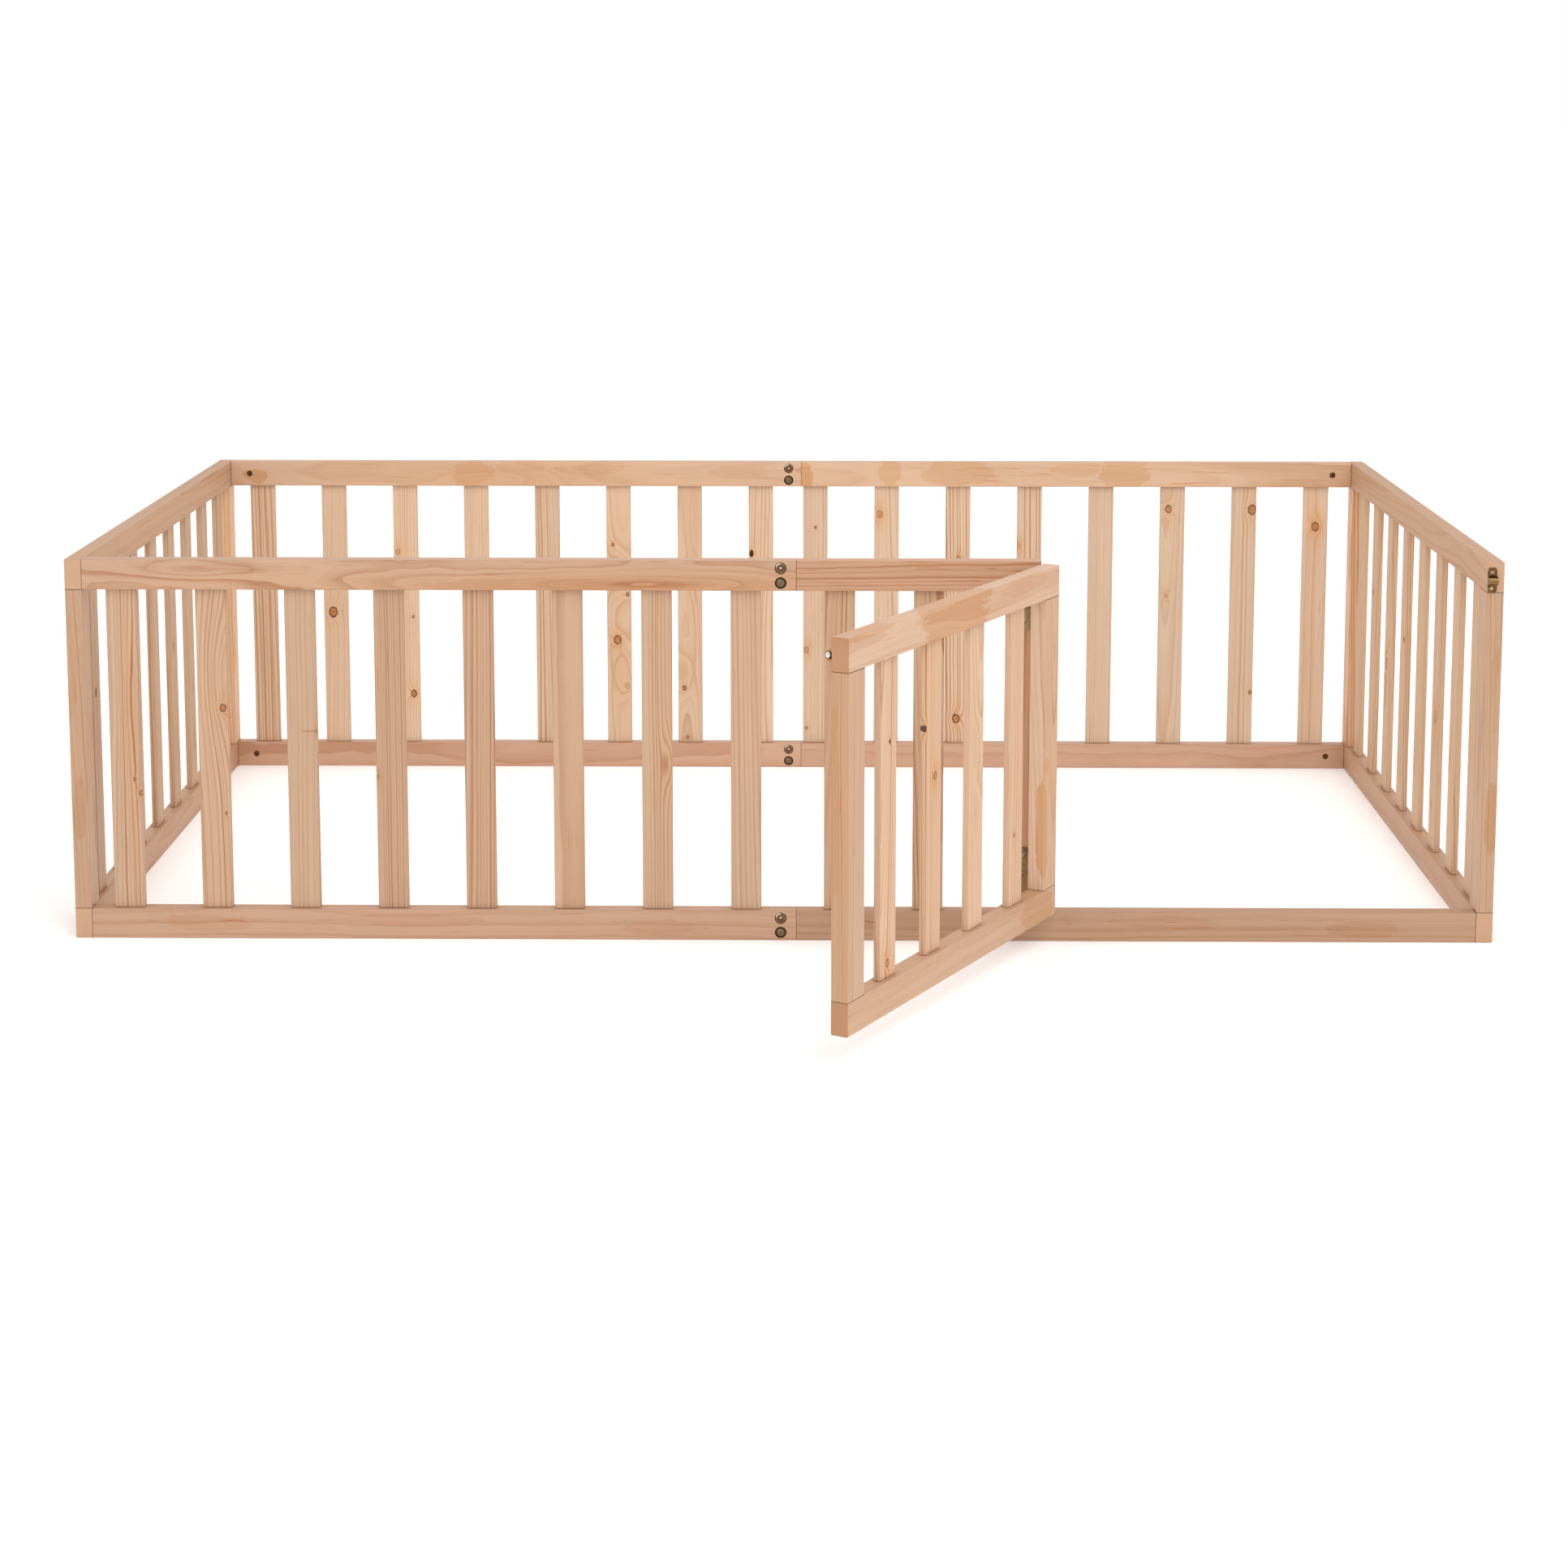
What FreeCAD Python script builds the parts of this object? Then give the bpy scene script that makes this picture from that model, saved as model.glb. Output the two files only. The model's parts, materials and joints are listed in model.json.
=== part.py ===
import FreeCAD, Part
import math
import os

# A wooden playpen: a low slatted fence with a hinged gate, bolted together from flat panels.
# Millimetres. The origin is the middle of the pen on the floor. X runs along the pen,
# the gate is on the -Y side, and +Z is up. The gate is modelled open.

Vector = FreeCAD.Vector

# Overall size
LENGTH = 1970.0
WIDTH = 1045.0
HEIGHT = 535.0

# Timber sections
THICKNESS = 23.0        # every rail, stile and post
RAIL = 42.0             # rail height, and stile width
SLAT_WIDTH = 42.0
SLAT_THICKNESS = 9.0
TENON = 12.0            # depth that a slat is let into each rail
RAIL_ROUND = 1.3        # outer long edges of a rail
INNER_ROUND = 0.8       # rail edges on the slats' side, and stile edges
END_ROUND = 0.5         # edges round the end of a rail
SLAT_ROUND = 1.0

# Slat layout
PITCH = 122.8           # from one slat's middle to the next
SIDE_SLATS = 8
HALF_SLATS = 8          # in each half of the back, and in the front's left half
LEFT_FIRST_SLAT = -50.0         # first slat left of the pen's middle, front and back
BACK_RIGHT_FIRST_SLAT = 44.0
FRONT_RIGHT_FIRST_SLAT = 79.0
FRONT_RIGHT_SLATS = 2
GATE_SLATS = 4

# Half-laps that join the panels at the pen's middle
LAP = 20.0              # half of the lap's length
LAP_BOLT_X = -2.0
LAP_BOLT_RISE = 10.2    # each bolt's distance above or below the rail's middle
LAP_SHANK_SHORT = 6.0   # how far a lap bolt's tip stops short of the far face
LAP_SLEEVE_SHORT = 7.0  # the same for a cap nut's sleeve

# Gate
POST_X = 312.0          # the hinge post's left side
GATE_WIDTH = 602.0
HINGE_GAP = 2.0         # between the hinge post and the closed gate
GATE_BOTTOM = 44.0
GATE_TOP = 533.0
OPEN_ANGLE = 119.0      # how far the gate stands open

# Butt hinges
HINGE_HEIGHT = 76.0
LEAF_WIDTH = 35.0
LEAF_THICKNESS = 1.5
KNUCKLE_RADIUS = 3.0
KNUCKLES = 5
KNUCKLE_GAP = 0.3
PIN_RADIUS = 1.5
PIN_CLEARANCE = 0.05
AXIS_PROUD = 3.3        # the hinge axis stands this far in front of the timber
UPPER_HINGE_Z = 478.0
LOWER_HINGE_Z = 96.0
HINGE_SCREW_SPACING = 28.0
HINGE_SCREW_OFFSET = 22.0       # from the hinge axis
HINGE_SCREW = (3.4, 1.75, 17.0)         # head radius, shank radius, length
LEAF_CORNER = 3.0
PIN_HEAD = (2.4, 1.2, 1.0)      # radius at the knuckle, at the tip, height

# Barrel bolt and keeper
ROD_RADIUS = 4.0
ROD_LENGTH = 72.5
ROD_PROUD = 6.3         # the rod's axis stands this far in front of the timber
ROD_CLEARANCE = 0.3
STRAP = 1.0             # sheet thickness of the straps over the rod
LATCH_Z = 510.0
LATCH_LENGTH = 50.0
LATCH_HALF_WIDTH = 10.0
LATCH_PLATE = 1.5
LATCH_END_GAP = 3.0     # from the plate to the gate's free end
STRAP_LENGTH = 9.0
STRAP_BASE = 9.0        # half of a strap's width at its foot
STRAP_SHOULDER = 4.6    # and at its top
ROD_DOME = 2.8
ROD_SHORT = 0.5         # how far the drawn rod stops short of the gate's free end
LATCH_SCREW = (2.4, 1.3, 13.0)          # head radius, shank radius, length
LATCH_SCREWS_X = (15.0, 35.0)           # from the plate's end
LATCH_SCREWS_Z = (-7.2, 7.2)            # from the rod's axis
KNOB_RADIUS = 3.5
KEEPER_INSET = 0.3      # from the side panel's inner face
KEEPER_WIDTH = 12.5
KEEPER_CORNER = 4.0
KEEPER_HEIGHT = 35.0
KEEPER_PLATE = 1.2
KEEPER_SCREW_RISE = 11.2        # each screw's distance above or below the rod's axis
KEEPER_SCREW_SHIFT = 0.8        # off the keeper's middle, clear of the stile's dowel

# Furniture bolts, barrel nuts, dowels
HEAD_FLANGE = (7.9, 0.8)        # radius, thickness
BOLT_HEAD = (7.6, 2.6, 1.2, 5.0, 0.8)   # radius, thickness, rounding, the dish's radius and depth
NUT_HEAD = (6.2, 2.0, 0.5, 4.6, 0.4)
COUNTERBORE_RADIUS = 8.2
COUNTERBORE_DEPTH = 3.0
SHANK_RADIUS = 3.0
SOCKET_RADIUS = 2.6
SOCKET_DEPTH = 1.2
SLEEVE_RADIUS = 4.0
FIT_GAP = 0.1
BARREL_RADIUS = 5.0
BARREL_LENGTH = 15.5
BARREL_SINK = 2.0       # how far below the timber's face a barrel nut lies
BARREL_FROM_END = 32.0
BARREL_SLOT = (1.6, 1.4)        # width, depth
DOWEL_RADIUS = 4.0
DOWEL_LENGTH = 30.0
DOWEL_OFFSET = 11.0     # each dowel's distance from the stile's middle
DOWEL_CHAMFER = 1.0

# Derived places
X_OUT = LENGTH / 2
X_IN = X_OUT - THICKNESS
FRONT = -WIDTH / 2
BACK = WIDTH / 2
FRONT_INNER = FRONT + THICKNESS
BACK_INNER = BACK - THICKNESS
FRONT_MID = FRONT + THICKNESS / 2
BACK_MID = BACK - THICKNESS / 2
TOP_RAIL = (HEIGHT - RAIL, HEIGHT)
BOTTOM_RAIL = (0.0, RAIL)
POST_RIGHT = POST_X + RAIL
GATE_X = POST_RIGHT + HINGE_GAP
GATE_END = GATE_X + GATE_WIDTH
HINGE_X = POST_RIGHT + HINGE_GAP / 2
HINGE_Y = FRONT - AXIS_PROUD

nodes = {}


def box(low, high):
    size = [high[i] - low[i] for i in range(3)]
    return Part.makeBox(size[0], size[1], size[2], Vector(*low))


def cylinder(start, direction, radius, length):
    return Part.makeCylinder(radius, length, Vector(*start), Vector(*direction))


def limits(edge, axis):
    bounds = edge.BoundBox
    return ((bounds.XMin, bounds.XMax), (bounds.YMin, bounds.YMax), (bounds.ZMin, bounds.ZMax))[axis]


def is_flat(edge, axis, place=None):
    low, high = limits(edge, axis)
    return high - low < 0.01 and (place is None or abs(low - place) < 0.01)


def corner_edges(shape, low, high, axis):
    """The straight edges along axis that are still sharp corners of the box low-high."""
    others = [i for i in range(3) if i != axis]
    return [
        e for e in shape.Edges
        if all(is_flat(e, i, low[i]) or is_flat(e, i, high[i]) for i in others)
    ]


def bar(low, high, axis, inner=None, long_round=RAIL_ROUND, end_round=END_ROUND):
    """A timber along axis. inner is (axis, place) of the face that meets slats or a rail."""
    shape = box(low, high)
    edges = corner_edges(shape, low, high, axis)
    if inner:
        edges = [e for e in edges if not is_flat(e, inner[0], inner[1])]
    shape = shape.makeFillet(long_round, edges)
    if inner:
        shape = shape.makeFillet(INNER_ROUND, corner_edges(shape, low, high, axis))
    if end_round:
        for place in (low[axis], high[axis]):
            ends = [e for e in shape.Edges if is_flat(e, axis, place)]
            shape = shape.makeFillet(end_round, ends)
    return shape


def rail(x, y, z, axis, slats_above):
    inner = (2, z[1] if slats_above else z[0])
    return bar((x[0], y[0], z[0]), (x[1], y[1], z[1]), axis, inner)


def stile(x, y, z):
    return bar((x[0], y[0], z[0]), (x[1], y[1], z[1]), 2, None, INNER_ROUND, None)


def slat(middle, across, mid_other, z):
    """An upright slat. across is the axis of its width; its ends reach into both rails."""
    half = [0.0, 0.0]
    half[across] = SLAT_WIDTH / 2
    half[1 - across] = SLAT_THICKNESS / 2
    place = [0.0, 0.0]
    place[across] = middle
    place[1 - across] = mid_other
    low = (place[0] - half[0], place[1] - half[1], z[0] - TENON)
    high = (place[0] + half[0], place[1] + half[1], z[1] + TENON)
    return bar(low, high, 2, None, SLAT_ROUND, None)


def one_solid(shape):
    solids = shape.Solids
    if len(solids) != 1:
        raise ValueError("expected one solid, found %d" % len(solids))
    return solids[0]


def seat(names, tools):
    """Cuts each named timber with every tool near it, so that inserted pieces fit exactly."""
    for name in names:
        timber = nodes[name][0]
        near = [t for t in tools if timber.BoundBox.intersect(t.BoundBox)]
        if near:
            nodes[name] = [one_solid(timber.cut(near))]


def hexagon(centre, direction, radius, depth):
    """A six-sided prism that cuts a hex socket; direction points into the metal."""
    along = Vector(*direction)
    side = Vector(0, 0, 1)
    other = along.cross(side)
    points = []
    for i in range(7):
        angle = math.radians(60 * i)
        points.append(Vector(*centre) + side * radius * math.cos(angle) + other * radius * math.sin(angle))
    return Part.Face(Part.makePolygon(points)).extrude(along * depth)


def step(start, direction, distance):
    return tuple(start[i] + direction[i] * distance for i in range(3))


def dished_head(face_point, direction, form):
    """A round dished head with a hex socket, which stands on a flange in the counterbore."""
    radius, thickness, rounding, dish_radius, dish = form
    top = step(face_point, direction, COUNTERBORE_DEPTH - thickness)
    head = cylinder(top, direction, radius, thickness)
    rims = [e for e in head.Edges if e.Curve.TypeId == "Part::GeomCircle"]
    rims.sort(key=lambda e: (e.Curve.Center - Vector(*top)).Length)
    head = head.makeFillet(rounding, [rims[0]])
    head = head.cut(cylinder(top, direction, dish_radius, dish))
    flange_top = step(face_point, direction, COUNTERBORE_DEPTH - HEAD_FLANGE[1])
    head = head.fuse(cylinder(flange_top, direction, *HEAD_FLANGE))
    return head.cut(hexagon(step(top, direction, dish), direction, SOCKET_RADIUS, SOCKET_DEPTH))


def furniture_bolt(face_point, direction, reach):
    """A dish-headed bolt. reach is how far its shank goes below the timber face."""
    under = step(face_point, direction, COUNTERBORE_DEPTH)
    shank = cylinder(under, direction, SHANK_RADIUS - FIT_GAP, reach - COUNTERBORE_DEPTH)
    return one_solid(dished_head(face_point, direction, BOLT_HEAD).fuse(shank))


def cap_nut(face_point, direction, reach):
    under = step(face_point, direction, COUNTERBORE_DEPTH)
    sleeve = cylinder(under, direction, SLEEVE_RADIUS, reach - COUNTERBORE_DEPTH)
    bore = cylinder(under, direction, SHANK_RADIUS, reach)
    return one_solid(dished_head(face_point, direction, NUT_HEAD).fuse(sleeve.cut(bore)))


def counterbore(face_point, direction):
    return cylinder(face_point, direction, COUNTERBORE_RADIUS, COUNTERBORE_DEPTH)


def wood_screw(surface, direction, head_radius, shank_radius, length):
    """A countersunk screw whose head is flush with the surface point."""
    sink = head_radius - shank_radius
    head = Part.makeCone(head_radius, shank_radius, sink, Vector(*surface), Vector(*direction))
    shank = cylinder(step(surface, direction, sink), direction, shank_radius, length - 2 * sink)
    tip_start = step(surface, direction, length - sink)
    tip = Part.makeCone(shank_radius, 0.4, sink, Vector(*tip_start), Vector(*direction))
    return one_solid(head.fuse(shank).fuse(tip).removeSplitter())


def cross_recess(surface, direction, size):
    """Two thin blocks that cut the cross into a screw's head, on a face that looks along Y."""
    deep = 0.5 * size
    y = sorted((surface[1], surface[1] + direction[1] * deep))
    arm = size * 0.5
    thin = size * 0.11
    upright = box((surface[0] - thin, y[0], surface[2] - arm), (surface[0] + thin, y[1], surface[2] + arm))
    level = box((surface[0] - arm, y[0], surface[2] - thin), (surface[0] + arm, y[1], surface[2] + thin))
    return upright.fuse(level)


def make_side(name, x):
    """A side panel: rails over the full width, a stile at each end, slats between."""
    nodes[name + "_top_rail"] = [rail(x, (FRONT, BACK), TOP_RAIL, 1, False)]
    nodes[name + "_bottom_rail"] = [rail(x, (FRONT, BACK), BOTTOM_RAIL, 1, True)]
    between = (BOTTOM_RAIL[1], TOP_RAIL[0])
    nodes[name + "_front_stile"] = [stile(x, (FRONT, FRONT + RAIL), between)]
    nodes[name + "_back_stile"] = [stile(x, (BACK - RAIL, BACK), between)]
    first = -PITCH * (SIDE_SLATS - 1) / 2
    mid_x = (x[0] + x[1]) / 2
    slats = [slat(first + PITCH * i, 1, mid_x, between) for i in range(SIDE_SLATS)]
    nodes[name + "_side_slats"] = slats
    seat([name + "_top_rail", name + "_bottom_rail"], slats)
    dowel_stile(mid_x, FRONT + RAIL / 2, 1, frame_dowels)
    dowel_stile(mid_x, BACK - RAIL / 2, 1, frame_dowels)


def dowel_stile(x, y, across, group, ends=(BOTTOM_RAIL[1], TOP_RAIL[0])):
    """Two dowels in each end of a stile, spread along the axis across."""
    for end in ends:
        for side in (-1, 1):
            place = [x, y, end - DOWEL_LENGTH / 2]
            place[across] += side * DOWEL_OFFSET
            dowel = cylinder(place, (0, 0, 1), DOWEL_RADIUS, DOWEL_LENGTH)
            rims = [e for e in dowel.Edges if e.Curve.TypeId == "Part::GeomCircle"]
            group.append(dowel.makeChamfer(DOWEL_CHAMFER, rims))


def lapped_rail(x, y, z, slats_above, tongue):
    """A rail whose end at the pen's middle is halved. tongue says which half of it stays."""
    shape = rail(x, y, z, 0, slats_above)
    mid = (y[0] + y[1]) / 2
    away = (mid, y[1] + 1) if tongue == "near" else (y[0] - 1, mid)
    waste = box((-LAP, away[0], z[0] - 1), (LAP, away[1], z[1] + 1))
    if tongue == "near":
        waste = waste.fuse(box((LAP, y[0] - 1, z[0] - 1), (LAP + 1, y[1] + 1, z[1] + 1)))
    return one_solid(shape.cut(waste))


def make_half(names, x, y, tongue, slat_middles, slat_names):
    """Half of the front or back: a lapped top and bottom rail with slats between them."""
    mid_y = (y[0] + y[1]) / 2
    between = (BOTTOM_RAIL[1], TOP_RAIL[0])
    nodes[names[0]] = [lapped_rail(x[0], y, TOP_RAIL, False, tongue)]
    nodes[names[1]] = [lapped_rail(x[1], y, BOTTOM_RAIL, True, tongue)]
    slats = [slat(middle, 0, mid_y, between) for middle in slat_middles]
    if len(slat_names) == 1:
        nodes[slat_names[0]] = slats
    else:
        for name, shape in zip(slat_names, slats):
            nodes[name] = [shape]
    seat(names, slats)


def make_panels():
    make_side("left", (-X_OUT, -X_IN))
    make_side("right", (X_IN, X_OUT))
    left_x = (-X_IN, LAP)
    right_x = (-LAP, X_IN)
    left_middles = [LEFT_FIRST_SLAT - PITCH * i for i in range(HALF_SLATS)]
    right_middles = [BACK_RIGHT_FIRST_SLAT + PITCH * i for i in range(HALF_SLATS)]
    short_middles = [FRONT_RIGHT_FIRST_SLAT + PITCH * i for i in range(FRONT_RIGHT_SLATS)]
    back_y = (BACK_INNER, BACK)
    front_y = (FRONT, FRONT_INNER)
    make_half(("back_left_top_rail", "back_left_bottom_rail"), (left_x, left_x), back_y,
              "near", left_middles, ["back_left_slats"])
    make_half(("back_right_top_rail", "back_right_bottom_rail"), (right_x, right_x), back_y,
              "far", right_middles, ["back_right_slats"])
    make_half(("front_left_top_rail", "front_left_bottom_rail"), (left_x, left_x), front_y,
              "near", left_middles, ["front_left_slat_%d" % (i + 1) for i in range(HALF_SLATS)])
    make_half(("front_right_top_rail", "threshold_rail"), ((-LAP, POST_RIGHT), right_x), front_y,
              "far", short_middles, ["front_right_slat_%d" % (i + 1) for i in range(FRONT_RIGHT_SLATS)])
    nodes["hinge_post"] = [stile((POST_X, POST_RIGHT), front_y, (BOTTOM_RAIL[1], TOP_RAIL[0]))]
    dowel_stile(POST_X + RAIL / 2, FRONT_MID, 0, frame_dowels)


def make_gate():
    """The gate, closed: rails over its full width, stiles and slats between them."""
    y = (FRONT, FRONT_INNER)
    top = (GATE_TOP - RAIL, GATE_TOP)
    bottom = (GATE_BOTTOM, GATE_BOTTOM + RAIL)
    between = (bottom[1], top[0])
    nodes["gate_top_rail"] = [rail((GATE_X, GATE_END), y, top, 0, False)]
    nodes["gate_bottom_rail"] = [rail((GATE_X, GATE_END), y, bottom, 0, True)]
    nodes["gate_hinge_stile"] = [stile((GATE_X, GATE_X + RAIL), y, between)]
    nodes["gate_latch_stile"] = [stile((GATE_END - RAIL, GATE_END), y, between)]
    first = GATE_X + GATE_WIDTH / 2 - PITCH * (GATE_SLATS - 1) / 2
    slats = [slat(first + PITCH * i, 0, FRONT_MID, between) for i in range(GATE_SLATS)]
    for i, shape in enumerate(slats):
        nodes["gate_slat_%d" % (i + 1)] = [shape]
    seat(["gate_top_rail", "gate_bottom_rail"], slats)
    dowel_stile(GATE_X + RAIL / 2, FRONT_MID, 0, gate_dowels, between)
    dowel_stile(GATE_END - RAIL / 2, FRONT_MID, 0, gate_dowels, between)


def join_laps():
    """Two bolts, put in from opposite sides, and their cap nuts through each half-lap."""
    bolts = []
    nuts = []
    holes = []
    for near, far in ((FRONT, FRONT_INNER), (BACK_INNER, BACK)):
        for z_range in (TOP_RAIL, BOTTOM_RAIL):
            for side in (-1, 1):
                z = (z_range[0] + z_range[1]) / 2 + side * LAP_BOLT_RISE
                head, tail = (LAP_BOLT_X, near, z), (LAP_BOLT_X, far, z)
                if side == -1:
                    head, tail = tail, head
                into = (0, 1 if side == 1 else -1, 0)
                back = (0, -into[1], 0)
                bolts.append(furniture_bolt(head, into, THICKNESS - LAP_SHANK_SHORT))
                nuts.append(cap_nut(tail, back, THICKNESS - LAP_SLEEVE_SHORT))
                holes.append(cylinder(head, into, SLEEVE_RADIUS + FIT_GAP, THICKNESS))
                holes.append(counterbore(head, into))
                holes.append(counterbore(tail, back))
    nodes["lap_bolts"] = bolts
    nodes["lap_nuts"] = nuts
    return holes


def corner_places():
    """Each rail end that is bolted to a side: its side, its middle y, the inner face's y, its z."""
    places = []
    for side in (-1, 1):
        for mid_y, inner_y, inward in ((FRONT_MID, FRONT_INNER, 1), (BACK_MID, BACK_INNER, -1)):
            for z_range in (TOP_RAIL, BOTTOM_RAIL):
                over_gate = side == 1 and inward == 1 and z_range is TOP_RAIL
                if not over_gate:
                    places.append((side, mid_y, inner_y, inward, (z_range[0] + z_range[1]) / 2))
    return places


def join_corners():
    """A bolt through each side rail into a slotted barrel nut in the rail that meets it."""
    bolts = []
    barrels = []
    holes = []
    reach = THICKNESS + BARREL_FROM_END + BARREL_RADIUS
    for side, mid_y, inner_y, inward, z in corner_places():
        head = (side * X_OUT, mid_y, z)
        into = (-side, 0, 0)
        bolts.append(furniture_bolt(head, into, reach))
        holes.append(counterbore(head, into))
        holes.append(cylinder(head, into, SHANK_RADIUS + FIT_GAP, reach + 1.0))
        nut_x = side * (X_IN - BARREL_FROM_END)
        mouth = (nut_x, inner_y, z)
        down = (0, -inward, 0)
        nut = cylinder(step(mouth, down, BARREL_SINK), down, BARREL_RADIUS, BARREL_LENGTH)
        nut = nut.cut(cylinder(head, into, SHANK_RADIUS, reach + 2.0))
        slot_y = sorted((inner_y - inward * BARREL_SINK, inner_y - inward * (BARREL_SINK + BARREL_SLOT[1])))
        slot_x = (nut_x - BARREL_SLOT[0] / 2, nut_x + BARREL_SLOT[0] / 2)
        slot_z = (z - BARREL_RADIUS - 1, z + BARREL_RADIUS + 1)
        nut = nut.cut(box((slot_x[0], slot_y[0], slot_z[0]), (slot_x[1], slot_y[1], slot_z[1])))
        barrels.append(one_solid(nut))
        deep = BARREL_SINK + BARREL_LENGTH + FIT_GAP
        holes.append(cylinder(mouth, down, BARREL_RADIUS + FIT_GAP, deep))
    nodes["corner_bolts"] = bolts
    nodes["barrel_nuts"] = barrels
    return holes


def knuckle_spans(z_mid):
    """The knuckles' z ranges from the bottom, alternately the post leaf's and the gate leaf's."""
    each = HINGE_HEIGHT / KNUCKLES
    low = z_mid - HINGE_HEIGHT / 2
    spans = []
    for i in range(KNUCKLES):
        bottom = low + each * i + (KNUCKLE_GAP / 2 if i else 0.0)
        top = low + each * (i + 1) - (KNUCKLE_GAP / 2 if i < KNUCKLES - 1 else 0.0)
        spans.append((bottom, top))
    return spans


def hinge_leaf(side, z_mid, screws):
    """A flat leaf with its knuckles. side is -1 on the post and 1 on the gate."""
    low = z_mid - HINGE_HEIGHT / 2
    high = z_mid + HINGE_HEIGHT / 2
    across = sorted((HINGE_X, HINGE_X + side * LEAF_WIDTH))
    leaf = box((across[0], FRONT - LEAF_THICKNESS, low), (across[1], FRONT, high))
    far = HINGE_X + side * LEAF_WIDTH
    tips = [e for e in leaf.Edges if is_flat(e, 0, far) and is_flat(e, 2)]
    leaf = leaf.makeFillet(LEAF_CORNER, tips)
    relief = KNUCKLE_RADIUS + 2 * KNUCKLE_GAP
    for i, span in enumerate(knuckle_spans(z_mid)):
        mine = (i % 2 == 0) == (side == -1)
        if mine:
            foot = (HINGE_X, HINGE_Y, span[0])
            leaf = leaf.fuse(cylinder(foot, (0, 0, 1), KNUCKLE_RADIUS, span[1] - span[0]))
        else:
            clear = (span[0] - KNUCKLE_GAP, span[1] + KNUCKLE_GAP)
            low_corner = (HINGE_X - relief, FRONT - 9, clear[0])
            leaf = leaf.cut(box(low_corner, (HINGE_X + relief, FRONT + 1, clear[1])))
    bore = cylinder((HINGE_X, HINGE_Y, low - 5), (0, 0, 1), PIN_RADIUS + PIN_CLEARANCE, HINGE_HEIGHT + 10)
    return one_solid(leaf.cut([bore] + screws))


def hinge_pin(z_mid):
    low = z_mid - HINGE_HEIGHT / 2
    high = z_mid + HINGE_HEIGHT / 2
    pin = cylinder((HINGE_X, HINGE_Y, low), (0, 0, 1), PIN_RADIUS, HINGE_HEIGHT)
    for end, away in ((low, -1), (high, 1)):
        head = Part.makeCone(*PIN_HEAD, Vector(HINGE_X, HINGE_Y, end), Vector(0, 0, away))
        pin = pin.fuse(head)
    return one_solid(pin)


def make_hinges():
    """Two surface-mounted butt hinges on the outer faces of the post and the gate."""
    post_screws = []
    gate_screws = []
    for name, z_mid in (("upper", UPPER_HINGE_Z), ("lower", LOWER_HINGE_Z)):
        for side, group in ((-1, post_screws), (1, gate_screws)):
            screws = []
            for i in (-1, 0, 1):
                x = HINGE_X + side * HINGE_SCREW_OFFSET
                head = (x, FRONT - LEAF_THICKNESS, z_mid + i * HINGE_SCREW_SPACING)
                screws.append(wood_screw(head, (0, 1, 0), *HINGE_SCREW))
            leaf_name = name + ("_hinge_post_leaf" if side == -1 else "_hinge_gate_leaf")
            nodes[leaf_name] = [hinge_leaf(side, z_mid, screws)]
            group += screws
        nodes[name + "_hinge_pin"] = [hinge_pin(z_mid)]
    nodes["post_hinge_screws"] = post_screws
    nodes["gate_hinge_screws"] = gate_screws


def strap(x, z, floor):
    """A strap with sloping flanks over the rod's axis, from floor in front of the timber."""
    outer = ROD_RADIUS + ROD_CLEARANCE + STRAP
    rise = math.sqrt(outer * outer - STRAP_SHOULDER * STRAP_SHOULDER)
    y_floor = FRONT - floor
    y_axis = FRONT - ROD_PROUD
    outline = [
        Vector(x[0], y_floor, z - STRAP_BASE),
        Vector(x[0], y_floor, z + STRAP_BASE),
        Vector(x[0], y_axis - rise, z + STRAP_SHOULDER),
        Vector(x[0], y_axis - rise, z - STRAP_SHOULDER),
        Vector(x[0], y_floor, z - STRAP_BASE),
    ]
    body = Part.Face(Part.makePolygon(outline)).extrude(Vector(x[1] - x[0], 0, 0))
    return body.fuse(cylinder((x[0], y_axis, z), (1, 0, 0), outer, x[1] - x[0]))


def rod_channel(x, z, floor):
    """The room for the rod under a strap, down to floor in front of the timber."""
    inner = ROD_RADIUS + ROD_CLEARANCE
    y_axis = FRONT - ROD_PROUD
    round_part = cylinder((x[0], y_axis, z), (1, 0, 0), inner, x[1] - x[0])
    return round_part.fuse(box((x[0], y_axis, z - inner), (x[1], FRONT - floor, z + inner)))


def small_screws(places, proud):
    return [wood_screw((x, FRONT - proud, z), (0, 1, 0), *LATCH_SCREW) for x, z in places]


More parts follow.
